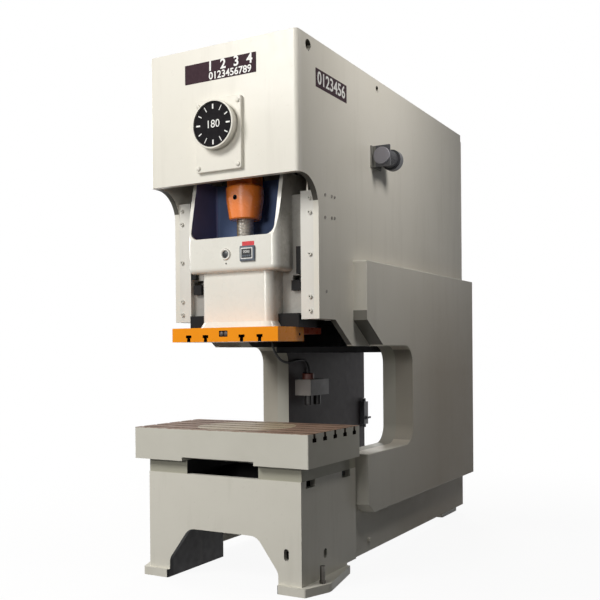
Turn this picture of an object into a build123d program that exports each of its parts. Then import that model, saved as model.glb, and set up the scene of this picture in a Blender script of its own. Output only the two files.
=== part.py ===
from build123d import *
from math import atan2, cos, pi, radians, sin, sqrt, tan
import os

os.makedirs("parts", exist_ok=True)

# A C-frame stamping press. X points right, Y to the back and Z up, in millimetres.
# The origin is on the floor, under the middle of the machine's width and depth.
machine_depth = 2760.0
dial_reach = 80.0
guard_depth = 40.0
front_y = dial_reach - machine_depth / 2
rear_y = machine_depth / 2 - guard_depth

# Welded frame: one flame-cut plate a side, a box outside it and a box inside it
head_half = 480.0
head_top = 2940.0
head_bottom = 2200.0
plate = 32.0
front_plate = 40.0
top_plate = 20.0
head_corner = 22.0
box_width = 88.0
inner_box_width = 89.0
side_in = head_half - plate
column_in = side_in - inner_box_width
sole_z = 57.0
weld_edge = 5.0

# The throat, seen from the side
cheek_y = front_y + 226.0
cheek_bottom = 1440.0
cheek_radius = 160.0
lip_run = 195.0
lip_slope = 220.0
throat_y = front_y + 1365.0
throat_top = 1293.0
throat_bottom = 664.0
throat_radius = 115.0
box_y = front_y + 655.0
box_top = 1790.0
box_brow = 1443.0
box_slope = 234.0
box_low = 372.0
box_floor = 315.0
box_toe = 81.0
box_round = 10.0
inner_box_top = 1560.0
ceiling_plate = 40.0
ceiling_y = throat_y - 165.0
inner_box_low = 320.0
heel_length = 300.0

# Lifting eyes in the side plates
lift_y = front_y + 121.0
lift_z = head_top - 56.0
lift_r = 30.0
rear_lift_y = front_y + 1026.0
rear_lift_r = 19.0

# Earthing boss low on each side plate
lug_place = (front_y + 843.0, 123.0)
lug_r = 15.0
lug_thick = 16.0

# Bed under the bolster
arch_half = 353.0
bed_half = arch_half + 140.0
bed_top = 588.0
bed_front_y = front_y - 20.0
bed_join_y = front_y + 640.0
leg_depth = 539.0
leg_plate = 25.0
arch_top = 284.0
arch_crown = 222.0
arch_spring = 105.0
arch_round = 80.0
arch_knee = 60.0
window_half = 232.0
foot_thick = 45.0
rail_setback = 6.0
leg_end_y = bed_front_y + leg_depth
rail_thick = throat_bottom - bed_top

# Bolster, centred on the ram
ram_set = 246.0
ram_y = front_y + ram_set
bolster_width = 1120.0
bolster_depth = 620.0
bolster_thick = 177.0
bolster_top = throat_bottom + bolster_thick
bolster_slots = 5
bolster_pitch = 120.0
slot_width = 24.0
slot_depth = 46.0
slot_head_width = 44.0
slot_head_depth = 21.0
centre_r = 280.0
centre_thick = 72.0
centre_gap = 0.5

# Guides for the ram
gib_width = 79.0
gib_thick = 36.0
gib_top = 2138.0
guide_wall = 44.0
guide_depth = 240.0
guide_gap = 0.2
gib_bolt_r = 8.0
gib_bolt_head_r = 11.0
gib_bolt_heights = (1485.0, 1562.0, 1793.0, 2019.0, 2096.0)
bolt_gap = 0.2
guide_in = side_in - guide_wall
guide_back_y = cheek_y + gib_thick + guide_depth

# Crank train: the crankshaft runs from front to back
stroke = 180.0
crank_r = stroke / 2
crank_z = head_top - 452.0
journal_r = 80.0
pin_r = 80.0
web_r = 185.0
web_thick = 54.0
pin_length = 140.0
web_gap = 0.3
shaft_gap = 0.05
bush_wall = 18.0
front_wall = 50.0
rear_wall = 80.0
wall_bottom = crank_z - 158.0
rear_wall_y = ram_y + 136.0
gear_y = front_y + 520.0
gear_face = 120.0
gear_module = 10.0
gear_teeth = 78
pinion_teeth = 15
mid_wall_y = front_y + 690.0
mid_wall = 80.0
tail_r = 60.0
pinion_z = crank_z - gear_module * (gear_teeth + pinion_teeth) / 2
mid_wall_bottom = pinion_z - 193.0

# Flywheel, clutch and motor in the rear bay
rear_bay_y = rear_y - 630.0
rear_bay_wall = 60.0
rear_bay_bottom = pinion_z - 323.0
flywheel_y = rear_y - 490.0
flywheel_face = 150.0
flywheel_r = 400.0
belt_count = 4
belt_pitch = 32.0
belt_width = 17.0
belt_depth = 13.0
belt_gap = 0.5
clutch_r = 230.0
clutch_length = 145.0
pulley_r = 72.0
motor_r = 150.0
motor_length = 400.0
motor_foot = 30.0
motor_shaft_r = 24.0
motor_z = throat_top + motor_foot + motor_r
motor_end_y = flywheel_y - 40.0

# Ram: an open box on top of a narrower block, with a guide wing each side
slide_half = 299.0
slide_wall = 24.0
slide_front_y = front_y + 88.0
slide_back_y = front_y + 480.0
slide_hood_bottom = 1708.0
slide_hood_front_top = 1900.0
slide_top = 2250.0
slide_slope_set = 82.0
slide_well_floor = 1745.0
slide_well_back_y = front_y + 372.0
slide_corner = 45.0
lower_half = 234.0
lower_front_y = front_y + 128.0
lower_corner = 52.0
slide_bottom = 1398.0
wing_bottom = 1474.0
wing_top = 2130.0
flare_height = 34.0
flare_reach = 20.0
well_round = 50.0

# Orange plate under the ram
plate_half = 345.0
plate_front_y = front_y + 11.0
plate_depth = 286.0
plate_thick = 78.0
tail_plate_half = 330.0
tail_plate_thick = 36.0
tail_plate_y = front_y + 534.0
ram_slots = (118.0, 232.0)
ram_slot_width = 22.0
ram_slot_depth = 38.0
ram_slot_head_width = 38.0
ram_slot_head_depth = 16.0
shank_r = 30.0
shank_depth = 60.0
shank_clamp = (1364.0, 56.0, 34.0, 8.0)
plate_hole = (front_y + 250.0, 1358.0)
plate_hole_r = 9.0

# Connecting rod and its adjusting screw
ball_z = 1800.0
ball_r = 68.0
screw_r = 47.0
screw_top = 2290.0
rod_bottom = 2012.0
rod_sleeve_top = 2205.0
rod_sleeve_r = 108.0
rod_sleeve_foot_r = 91.0
rod_face = 120.0
big_end_r = 150.0
seat_r = 105.0
seat_wall = 26.0
retainer_thick = 22.0

# Knock-out bar across the ram
knock_bottom = 1600.0
knock_height = 85.0
knock_bar = (44.0, 56.0)
knock_bar_half = 356.0
knock_lug_in = slide_half + 3
knock_cover = 24.0
knock_depth = 90.0
knock_stop = (337.0, 230.0, 258.0, 1690.0, 1840.0)
shoe_front_y = front_y + 208.0
shoe_half = 362.0

# Air balance cylinders beside the crank
balance_x = 352.0
balance_r = 36.0
balance_y = rear_wall_y - balance_r - 0.3
balance_bore_r = 29.0
balance_rod_r = 14.0
balance_bottom = crank_z - 198.0
balance_length = 280.0

# Crank dial on the head's front face
dial_z = crank_z
dial_r = 132.0
dial_drum_r = 123.0
dial_face_r = 122.0
dial_bezel = 16.0
dial_plate_half = 148.0
dial_plate_bottom = dial_z - 242.0
dial_plate_top = dial_z + 152.0
dial_plate_thick = 24.0
dial_shaft_r = 18.0
dial_hole_r = 30.0
dial_disc_thick = 6.0
dial_recess = 9.0


def save(piece, name):
    """Label a finished piece and write its file."""
    piece.part.label = name
    export_step(piece.part, f"parts/{name}.step")


def at_y(y):
    """Plane across the machine at a depth; what is drawn on it grows towards the front."""
    return Plane.XZ.offset(-y)


def at_x(x):
    """Plane along the machine; what is drawn on it, as (Y, Z), grows to the right."""
    return Plane.YZ.offset(x)


def slab(sign, near, thick):
    """Plane for a plate that stands between near and near + thick on one side."""
    return at_x(near if sign > 0 else -near - thick)


def corner(sketch, place, radius):
    """Round the corner of a sketch that lies nearest to a place."""
    fillet(sketch.vertices().sort_by_distance(place)[0], radius)


def involute_gear(teeth, head, root, backlash):
    """Outline of a spur gear with a tooth pointing up, head and root beyond the pitch circle."""
    pitch_r = gear_module * teeth / 2
    base_r = pitch_r * cos(radians(20))
    half = (gear_module * pi / 2 - backlash) / 2 / pitch_r
    pitch_roll = tan(radians(20)) - radians(20)

    def flank(radius):
        if radius <= base_r:
            return half + pitch_roll
        roll = sqrt((radius / base_r) ** 2 - 1)
        return half + pitch_roll - (roll - atan2(roll, 1))

    radii = [pitch_r - root, max(base_r, pitch_r - root * 0.55), pitch_r, pitch_r + head]
    points = []
    for tooth in range(teeth):
        middle = pi / 2 + 2 * pi * tooth / teeth
        for radius in radii:
            points.append((radius * cos(middle - flank(radius)), radius * sin(middle - flank(radius))))
        for radius in reversed(radii):
            points.append((radius * cos(middle + flank(radius)), radius * sin(middle + flank(radius))))
    return points


def ring(y, length, outer, inner, z):
    """Bush along Y, its front end at y."""
    with BuildSketch(at_y(y + length)) as section:
        with Locations((0, z)):
            Circle(outer)
            Circle(inner, mode=Mode.SUBTRACT)
    extrude(section.sketch, amount=length)


# Side plates: one C-shaped plate from the head down to the sole
side_outline = [
    (bed_join_y, sole_z),
    (rear_y, sole_z),
    (rear_y, head_top),
    (front_y + front_plate, head_top),
    (front_y + front_plate, head_bottom),
    (cheek_y, head_bottom),
    (cheek_y, cheek_bottom),
    (cheek_y + lip_run, cheek_bottom),
    (cheek_y + lip_run + lip_slope, throat_top),
    (throat_y, throat_top),
    (throat_y, throat_bottom),
    (bed_join_y, throat_bottom),
]
for side, sign in (("left", -1), ("right", 1)):
    with BuildPart() as side_plate:
        with BuildSketch(slab(sign, side_in, plate)) as outline:
            with BuildLine():
                Polyline(*side_outline, close=True)
            make_face()
            corner(outline, (cheek_y, head_bottom), cheek_radius)
            corner(outline, (throat_y, throat_top), throat_radius)
            corner(outline, (throat_y, throat_bottom), throat_radius)
            with Locations((lift_y, lift_z)):
                Circle(lift_r, mode=Mode.SUBTRACT)
            with Locations((rear_lift_y, lift_z)):
                Circle(rear_lift_r, mode=Mode.SUBTRACT)
        extrude(amount=plate)
        with BuildSketch(slab(sign, head_half, lug_thick)):
            with Locations(lug_place):
                Circle(lug_r)
        extrude(amount=lug_thick)
    save(side_plate, f"side_plate_{side}")

# Side boxes: the stiffener outside each plate, cut out round the throat
box_outline = [
    (box_y, box_low),
    (box_y + box_toe, box_floor),
    (rear_y, box_floor),
    (rear_y, box_top),
    (box_y, box_top),
    (box_y, box_brow),
    (box_y + box_slope, throat_top),
    (throat_y, throat_top),
    (throat_y, throat_bottom),
    (box_y, throat_bottom),
]
for side, sign in (("left", -1), ("right", 1)):
    with BuildPart() as side_box:
        with BuildSketch(slab(sign, head_half, box_width)) as outline:
            with BuildLine():
                Polyline(*box_outline, close=True)
            make_face()
            corner(outline, (throat_y, throat_top), throat_radius)
            corner(outline, (throat_y, throat_bottom), throat_radius)
            corner(outline, (box_y, box_top), box_round)
        extrude(amount=box_width)
        outer_face = side_box.faces().sort_by(Axis.X)[-1 if sign > 0 else 0]
        fillet(outer_face.edges(), weld_edge)
    save(side_box, f"side_box_{side}")

# Inner boxes: they close the columns towards the open back
inner_outline = [
    (box_y, inner_box_low),
    (rear_y - heel_length, inner_box_low),
    (rear_y - heel_length, sole_z),
    (rear_y, sole_z),
    (rear_y, inner_box_top),
    (box_y, inner_box_top),
    (box_y, box_brow),
    (box_y + box_slope, throat_top),
    (throat_y, throat_top),
    (throat_y, throat_bottom),
    (box_y, throat_bottom),
]
for side, sign in (("left", -1), ("right", 1)):
    with BuildPart() as inner_box:
        with BuildSketch(slab(sign, column_in, inner_box_width)) as outline:
            with BuildLine():
                Polyline(*inner_outline, close=True)
            make_face()
            corner(outline, (throat_y, throat_top), throat_radius)
            corner(outline, (throat_y, throat_bottom), throat_radius)
        extrude(amount=inner_box_width)
    save(inner_box, f"inner_box_{side}")

# Head front plate, with the opening for the dial's shaft
with BuildPart() as head_front:
    with BuildSketch(at_y(front_y + front_plate)):
        with Locations((0, (head_top + head_bottom) / 2)):
            Rectangle(2 * head_half, head_top - head_bottom)
        with Locations((0, crank_z)):
            Circle(journal_r, mode=Mode.SUBTRACT)
    extrude(amount=front_plate)
    upright = head_front.edges().filter_by(Axis.Z).group_by(Axis.Y)[0]
    fillet(upright, head_corner)
save(head_front, "head_front_plate")

with BuildPart() as head_top_plate:
    with BuildSketch(Plane.XY.offset(head_top - top_plate)):
        with Locations((0, (front_y + front_plate + rear_y) / 2)):
            Rectangle(2 * side_in, rear_y - front_y - front_plate)
    extrude(amount=top_plate)
save(head_top_plate, "head_top_plate")

# Cross walls inside the head, each bored for the shafts that it carries
walls = {
    "front_bearing_wall": (front_y + front_plate, front_wall, wall_bottom, ((crank_z, journal_r),)),
    "rear_bearing_wall": (rear_wall_y, rear_wall, wall_bottom, ((crank_z, journal_r),)),
    "mid_bearing_wall": (mid_wall_y, mid_wall, mid_wall_bottom, ((crank_z, tail_r), (pinion_z, tail_r))),
    "flywheel_wall": (rear_bay_y, rear_bay_wall, rear_bay_bottom, ((pinion_z, tail_r),)),
}
for name, (wall_y, thick, bottom, bores) in walls.items():
    with BuildPart() as wall:
        with BuildSketch(at_y(wall_y + thick)):
            with Locations((0, (head_top - top_plate + bottom) / 2)):
                Rectangle(2 * side_in, head_top - top_plate - bottom)
            for bore_z, shaft_r in bores:
                with Locations((0, bore_z)):
                    Circle(shaft_r + bush_wall, mode=Mode.SUBTRACT)
        extrude(amount=thick)
    save(wall, name)

with BuildPart() as bushes:
    for wall_y, thick, bottom, bores in walls.values():
        for bore_z, shaft_r in bores:
            ring(wall_y, thick, shaft_r + bush_wall - shaft_gap, shaft_r + shaft_gap, bore_z)
save(bushes, "bearing_bushes")

# Ceiling of the open back, which carries the motor
with BuildPart() as ceiling:
    with BuildSketch(Plane.XY.offset(throat_top - ceiling_plate)):
        with Locations((0, (ceiling_y + rear_y) / 2)):
            Rectangle(2 * column_in, rear_y - ceiling_y)
    extrude(amount=ceiling_plate)
save(ceiling, "throat_ceiling_plate")

# Tie plate that joins the columns at the rear foot
tie_top = 330.0
with BuildPart() as tie:
    with BuildSketch(at_y(rear_y)):
        with Locations((0, (sole_z + tie_top) / 2)):
            Rectangle(2 * column_in, tie_top - sole_z)
    extrude(amount=plate)
save(tie, "rear_tie_plate")

# Guard over the flywheel bay, a folded sheet with rows of louvres
guard_sheet = 3.0
guard_set = 8.0
guard_half = head_half - guard_set
guard_bottom = throat_top + guard_set
guard_top = head_top - 30.0
louvre_rows = 13
louvre_columns = 3
louvre_width = 190.0
louvre_height = 12.0
louvre_pitch = (247.0, 72.0)
with BuildPart() as guard:
    with BuildSketch(at_y(rear_y + guard_depth)):
        with Locations((0, (guard_bottom + guard_top) / 2)):
            RectangleRounded(2 * guard_half, guard_top - guard_bottom, head_corner)
    extrude(amount=guard_depth)
    front_face = guard.faces().filter_by(Axis.Y).sort_by(Axis.Y)[0]
    offset(amount=-guard_sheet, openings=front_face)
    with BuildSketch(at_y(rear_y + guard_depth)):
        with Locations((0, (guard_bottom + guard_top) / 2)):
            with GridLocations(louvre_pitch[0], louvre_pitch[1], louvre_columns, louvre_rows):
                SlotOverall(louvre_width, louvre_height)
    extrude(amount=2 * guard_sheet, mode=Mode.SUBTRACT)
save(guard, "rear_guard")

# Bed front plate with its arch and the slot in the right leg
leg_slot = (arch_half + 50.0, 204.0)
leg_slot_size = (64.0, 30.0)
with BuildPart() as bed_front:
    with BuildSketch(at_y(bed_front_y + plate)) as outline:
        with BuildLine():
            Polyline(
                (bed_half, foot_thick),
                (bed_half, bed_top),
                (-bed_half, bed_top),
                (-bed_half, foot_thick),
                (-arch_half, foot_thick),
                (-arch_half, arch_spring),
                (-arch_crown, arch_top),
                (arch_crown, arch_top),
                (arch_half, arch_spring),
                (arch_half, foot_thick),
                close=True,
            )
        make_face()
        for sign in (-1, 1):
            corner(outline, (sign * arch_crown, arch_top), arch_round)
            corner(outline, (sign * arch_half, arch_spring), arch_knee)
        with Locations(leg_slot):
            SlotOverall(*leg_slot_size, rotation=90, mode=Mode.SUBTRACT)
    extrude(amount=plate)
save(bed_front, "bed_front_plate")

# Bed side plates, notched at the top for the bolster's bolts
bed_side_y = bed_front_y + plate
pocket_depth = 40.0
pocket_length = 104.0
hold_down_r = 14.0
pocket_ys = (front_y + 89.0, front_y + 512.0)
hold_down_x = bed_half - 48.0
hold_down_ys = (front_y + 89.0, front_y + 483.0)
side_slot = (front_y + 249.0, 168.0)
side_slot_size = (54.0, 42.0)
for side, sign in (("left", -1), ("right", 1)):
    with BuildPart() as bed_side:
        with BuildSketch(slab(sign, bed_half - plate, plate)):
            with BuildLine():
                Polyline(
                    (bed_side_y, foot_thick),
                    (leg_end_y, foot_thick),
                    (leg_end_y, sole_z),
                    (bed_join_y, sole_z),
                    (bed_join_y, bed_top),
                    (bed_side_y, bed_top),
                    close=True,
                )
            make_face()
            for pocket_y in pocket_ys:
                with Locations((pocket_y, bed_top - pocket_depth / 2)):
                    Rectangle(pocket_length, pocket_depth, mode=Mode.SUBTRACT)
            with Locations(side_slot):
                SlotOverall(*side_slot_size, rotation=90, mode=Mode.SUBTRACT)
        extrude(amount=plate)
    save(bed_side, f"bed_side_{side}")

# Leg liners: the inner and rear walls that make each front leg a box
with BuildPart() as liners:
    for sign in (-1, 1):
        with BuildSketch(Plane.XY.offset(foot_thick)):
            with BuildLine():
                Polyline(
                    (sign * arch_half, bed_side_y),
                    (sign * (arch_half + leg_plate), bed_side_y),
                    (sign * (arch_half + leg_plate), leg_end_y - leg_plate),
                    (sign * (bed_half - plate), leg_end_y - leg_plate),
                    (sign * (bed_half - plate), leg_end_y),
                    (sign * arch_half, leg_end_y),
                    close=True,
                )
            make_face()
        extrude(amount=bed_top - foot_thick)
        with BuildSketch():
            with Locations((sign * (arch_half + leg_plate / 2), (bed_side_y + leg_end_y) / 2)):
                Rectangle(leg_plate, leg_end_y - bed_side_y)
        extrude(amount=foot_thick)
        with BuildSketch(Plane.XY.offset(bed_top)):
            with Locations((sign * hold_down_x, leg_end_y)):
                Rectangle(pocket_length, 2 * leg_plate)
        extrude(amount=-pocket_depth, mode=Mode.SUBTRACT)
save(liners, "leg_liners")

# Bed webs: the floor over the arch and the cross wall behind the legs
with BuildPart() as bed_webs:
    with BuildSketch(Plane.XY.offset(arch_top)):
        with Locations((0, (bed_side_y + leg_end_y) / 2)):
            Rectangle(2 * arch_half, leg_end_y - bed_side_y)
    extrude(amount=leg_plate)
    with BuildSketch(at_y(leg_end_y + leg_plate)):
        with Locations((0, (arch_top + bed_top) / 2)):
            Rectangle(2 * (bed_half - plate), bed_top - arch_top)
    extrude(amount=leg_plate)
save(bed_webs, "bed_webs")

# Rails on which the bolster lies
with BuildPart() as rails:
    for sign in (-1, 1):
        with BuildSketch(Plane.XY.offset(bed_top)):
            middle = (bed_front_y + rail_setback + bed_join_y) / 2
            with Locations((sign * (window_half + bed_half) / 2, middle)):
                Rectangle(bed_half - window_half, bed_join_y - bed_front_y - rail_setback)
        extrude(amount=rail_thick)
        with Locations(*[(sign * hold_down_x, y, bed_top) for y in hold_down_ys]):
            Hole(hold_down_r + bolt_gap)
save(rails, "bolster_rails")

# Feet: flared plates under the front legs and plain ones under the columns
foot_flare = bed_half + 88.0
foot_front_half = bed_half + 29.0
foot_rear_half = bed_half + 19.0
foot_front_y = front_y - 40.0
foot_flare_y = front_y + 119.0
foot_bend_y = front_y + 150.0
foot_round = 12.0
anchor_r = 14.0
anchor_x = bed_half + 53.0
anchor_y = front_y + 112.0
rear_foot_y = rear_y - 320.0
rear_foot_in = 250.0
rear_foot_out = 425.0
rear_anchor = (295.0, rear_y - 150.0)
with BuildPart() as feet:
    for sign in (-1, 1):
        with BuildSketch() as outline:
            with BuildLine():
                Polyline(
                    (sign * arch_half, foot_front_y),
                    (sign * foot_front_half, foot_front_y),
                    (sign * foot_flare, foot_flare_y),
                    (sign * foot_flare, foot_bend_y),
                    (sign * foot_rear_half, leg_end_y),
                    (sign * (arch_half + leg_plate), leg_end_y),
                    (sign * (arch_half + leg_plate), bed_side_y),
                    (sign * arch_half, bed_side_y),
                    close=True,
                )
            make_face()
            for foot_corner in (
                (sign * arch_half, foot_front_y),
                (sign * foot_front_half, foot_front_y),
                (sign * foot_flare, foot_flare_y),
            ):
                corner(outline, foot_corner, foot_round)
            with Locations((sign * anchor_x, anchor_y)):
                Circle(anchor_r + bolt_gap, mode=Mode.SUBTRACT)
        extrude(amount=foot_thick)
        with BuildSketch():
            with Locations((sign * (rear_foot_in + rear_foot_out) / 2, (rear_foot_y + rear_y) / 2)):
                Rectangle(rear_foot_out - rear_foot_in, rear_y - rear_foot_y)
            with Locations((sign * rear_anchor[0], rear_anchor[1])):
                Circle(anchor_r + bolt_gap, mode=Mode.SUBTRACT)
        extrude(amount=sole_z)
save(feet, "feet")

# Bolts of the frame
bolt_stand = 92.0
nut_across = 34.0
nut_thick = 14.0


def bolster_grooves():
    """Cut the T-slots that run across the bolster."""
    for row in range(bolster_slots):
        groove_y = ram_y + (row - (bolster_slots - 1) / 2) * bolster_pitch
        with BuildSketch(at_x(-bolster_width / 2)) as groove:
            with Locations((groove_y, bolster_top - slot_depth / 2)):
                Rectangle(slot_width, slot_depth)
            with Locations((groove_y, bolster_top - slot_depth + slot_head_depth / 2)):
                Rectangle(slot_head_width, slot_head_depth)
        extrude(groove.sketch, amount=bolster_width, mode=Mode.SUBTRACT)


# Bolster with its centre plate let in flush
notch_height = 21.0
notch_depth = 110.0
bolster_bolt_reach = 60.0
bolster_edge = 3.0
with BuildPart() as bolster:
    with BuildSketch(Plane.XY.offset(throat_bottom)):
        with Locations((0, ram_y)):
            Rectangle(bolster_width, bolster_depth)
    extrude(amount=bolster_thick)
    chamfer(bolster.edges().filter_by(Axis.Z), bolster_edge)
    with BuildSketch(Plane.XY.offset(bolster_top)):
        with Locations((0, ram_y)):
            Circle(centre_r + centre_gap)
    extrude(amount=-centre_thick, mode=Mode.SUBTRACT)
    with BuildSketch(Plane.XY.offset(throat_bottom)):
        with Locations((0, ram_y - bolster_depth / 2 + notch_depth / 2)):
            Rectangle(2 * window_half, notch_depth)
    extrude(amount=notch_height, mode=Mode.SUBTRACT)
    with BuildSketch(Plane.XY.offset(throat_bottom)):
        for sign in (-1, 1):
            with Locations(*[(sign * hold_down_x, y) for y in hold_down_ys]):
                Circle(hold_down_r + bolt_gap)
    extrude(amount=bolster_bolt_reach, mode=Mode.SUBTRACT)
    bolster_grooves()
save(bolster, "bolster")

with BuildPart() as centre_disc:
    with BuildSketch(Plane.XY.offset(bolster_top - centre_thick)):
        with Locations((0, ram_y)):
            Circle(centre_r)
    extrude(amount=centre_thick)
    bolster_grooves()
save(centre_disc, "bolster_centre_plate")

# Levelling bolts with their lock nuts, and bolts that hold the bolster down from the pockets
with BuildPart() as frame_bolts:
    for x, y, seat in ((anchor_x, anchor_y, foot_thick), (rear_anchor[0], rear_anchor[1], sole_z)):
        for sign in (-1, 1):
            with BuildSketch():
                with Locations((sign * x, y)):
                    Circle(anchor_r)
            extrude(amount=seat + bolt_stand)
            with BuildSketch(Plane.XY.offset(seat)):
                with Locations((sign * x, y)):
                    RegularPolygon(nut_across / 2, 6, major_radius=False)
            extrude(amount=nut_thick)
    for sign in (-1, 1):
        for y in hold_down_ys:
            with BuildSketch(Plane.XY.offset(bed_top - nut_thick)):
                with Locations((sign * hold_down_x, y)):
                    RegularPolygon(nut_across / 2, 6, major_radius=False)
            extrude(amount=nut_thick)
            with BuildSketch(Plane.XY.offset(bed_top)):
                with Locations((sign * hold_down_x, y)):
                    Circle(hold_down_r)
            extrude(amount=rail_thick + bolster_bolt_reach - 2)
save(frame_bolts, "frame_bolts")

# Front gibs and the guide rails behind them
gib_height = gib_top - cheek_bottom
gib_bolt_x = side_in - 21.0
gib_bolt_reach = 30.0
with BuildPart() as front_gibs:
    for sign in (-1, 1):
        with BuildSketch(at_y(cheek_y + gib_thick)):
            with Locations((sign * (side_in - gib_width / 2), cheek_bottom + gib_height / 2)):
                Rectangle(gib_width, gib_height)
            with Locations(*[(sign * gib_bolt_x, z) for z in gib_bolt_heights]):
                Circle(gib_bolt_r + bolt_gap, mode=Mode.SUBTRACT)
        extrude(amount=gib_thick)
save(front_gibs, "front_gibs")

with BuildPart() as guide_rails:
    for sign in (-1, 1):
        with BuildSketch(Plane.XY.offset(cheek_bottom)):
            with BuildLine():
                Polyline(
                    (sign * side_in, cheek_y + gib_thick),
                    (sign * side_in, guide_back_y + gib_thick),
                    (sign * (side_in - gib_width), guide_back_y + gib_thick),
                    (sign * (side_in - gib_width), guide_back_y),
                    (sign * guide_in, guide_back_y),
                    (sign * guide_in, cheek_y + gib_thick),
                    close=True,
                )
            make_face()
        extrude(amount=gib_height)
        with BuildSketch(at_y(cheek_y + gib_thick)):
            with Locations(*[(sign * gib_bolt_x, z) for z in gib_bolt_heights]):
                Circle(gib_bolt_r + bolt_gap)
        extrude(amount=-gib_bolt_reach, mode=Mode.SUBTRACT)
save(guide_rails, "guide_rails")

gib_head_thick = 12.0
with BuildPart() as gib_bolts:
    for sign in (-1, 1):
        for z in gib_bolt_heights:
            with BuildSketch(at_y(cheek_y)):
                with Locations((sign * gib_bolt_x, z)):
                    Circle(gib_bolt_head_r)
                    RegularPolygon(gib_bolt_r * 0.6, 6, mode=Mode.SUBTRACT)
            extrude(amount=gib_head_thick)
            with BuildSketch(at_y(cheek_y)):
                with Locations((sign * gib_bolt_x, z)):
                    Circle(gib_bolt_r)
            extrude(amount=-gib_thick - gib_bolt_reach + 1)
save(gib_bolts, "gib_bolts")


def crank_web(web_y):
    """Crank web round the shaft's and the pin's axes, its front face at web_y."""
    with BuildSketch(at_y(web_y + web_thick)) as outline:
        with Locations((0, crank_z)):
            Circle(web_r - crank_r / 2)
        with Locations((0, crank_z + crank_r)):
            Circle(web_r - crank_r)
        make_hull()
    extrude(outline.sketch, amount=web_thick)


def spindle(start, end, radius, z):
    """Round shaft stretch along Y."""
    with BuildSketch(at_y(end)) as section:
        with Locations((0, z)):
            Circle(radius)
    extrude(section.sketch, amount=end - start)


# Crankshaft in two halves, because the pin between the webs belongs to the rod
front_web_y = ram_y - pin_length / 2 - web_thick
rear_web_y = ram_y + pin_length / 2
dial_disc_y = front_y - dial_reach + dial_recess
with BuildPart() as crankshaft:
    crank_web(front_web_y)
    spindle(front_y + front_plate + 1, front_web_y, journal_r, crank_z)
    spindle(dial_disc_y + dial_disc_thick, front_y + front_plate + 1, dial_shaft_r, crank_z)
    crank_web(rear_web_y)
    spindle(rear_web_y + web_thick, gear_y, journal_r, crank_z)
    spindle(gear_y, mid_wall_y + mid_wall, tail_r, crank_z)
save(crankshaft, "crankshaft")

# Main gear: toothed rim, dished web with lightening holes, and hub
gear_head = 5.5
gear_root = 13.0
pinion_head = 9.0
pinion_root = 9.5
backlash = 1.2
gear_rim_r = 335.0
gear_hub_r = 125.0
gear_web = 44.0
gear_holes = 6
gear_hole_r = 58.0
with BuildPart() as gear:
    with BuildSketch(at_y(gear_y + gear_face)):
        with Locations((0, crank_z)):
            Polygon(*involute_gear(gear_teeth, gear_head, gear_root, backlash), align=None)
            Circle(tail_r + shaft_gap, mode=Mode.SUBTRACT)
            with PolarLocations((gear_rim_r + gear_hub_r) / 2, gear_holes):
                Circle(gear_hole_r, mode=Mode.SUBTRACT)
    extrude(amount=gear_face)
    for face_y, way in ((gear_y, -1), (gear_y + gear_face, 1)):
        with BuildSketch(at_y(face_y)):
            with Locations((0, crank_z)):
                Circle(gear_rim_r)
                Circle(gear_hub_r, mode=Mode.SUBTRACT)
        extrude(amount=way * (gear_face - gear_web) / 2, mode=Mode.SUBTRACT)
save(gear, "crank_gear")

# Pinion shaft; its gap between teeth faces the gear at rest
shaft_tail = 20.0
with BuildPart() as pinion:
    with BuildSketch(at_y(gear_y + gear_face)):
        with Locations(Location((0, pinion_z), 180 / pinion_teeth)):
            Polygon(*involute_gear(pinion_teeth, pinion_head, pinion_root, backlash), align=None)
    extrude(amount=gear_face)
    spindle(gear_y + gear_face, flywheel_y + flywheel_face + clutch_length + shaft_tail, tail_r, pinion_z)
save(pinion, "pinion_shaft")


def belt_ys():
    """Front faces of the belts, spread over the flywheel's rim."""
    first = flywheel_y + flywheel_face / 2 - belt_pitch * (belt_count - 1) / 2 - belt_width / 2
    return [first + belt_pitch * belt for belt in range(belt_count)]


def grooved_rim(radius, z):
    """Cut one groove for each belt into a rim."""
    for y in belt_ys():
        with BuildSketch(at_y(y + belt_width + belt_gap)) as groove:
            with Locations((0, z)):
                Circle(radius + 1)
                Circle(radius - belt_depth, mode=Mode.SUBTRACT)
        extrude(groove.sketch, amount=belt_width + 2 * belt_gap, mode=Mode.SUBTRACT)


flywheel_rim = 70.0
flywheel_web = 50.0
flywheel_hub_r = 120.0
with BuildPart() as flywheel:
    spindle(flywheel_y, flywheel_y + flywheel_face, flywheel_r, pinion_z)
    for face_y, way in ((flywheel_y, -1), (flywheel_y + flywheel_face, 1)):
        with BuildSketch(at_y(face_y)):
            with Locations((0, pinion_z)):
                Circle(flywheel_r - flywheel_rim)
                Circle(flywheel_hub_r, mode=Mode.SUBTRACT)
        extrude(amount=way * (flywheel_face - flywheel_web) / 2, mode=Mode.SUBTRACT)
    with BuildSketch(at_y(flywheel_y + flywheel_face)):
        with Locations((0, pinion_z)):
            Circle(tail_r + shaft_gap)
    extrude(amount=flywheel_face, mode=Mode.SUBTRACT)
    grooved_rim(flywheel_r, pinion_z)
save(flywheel, "flywheel")

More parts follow.
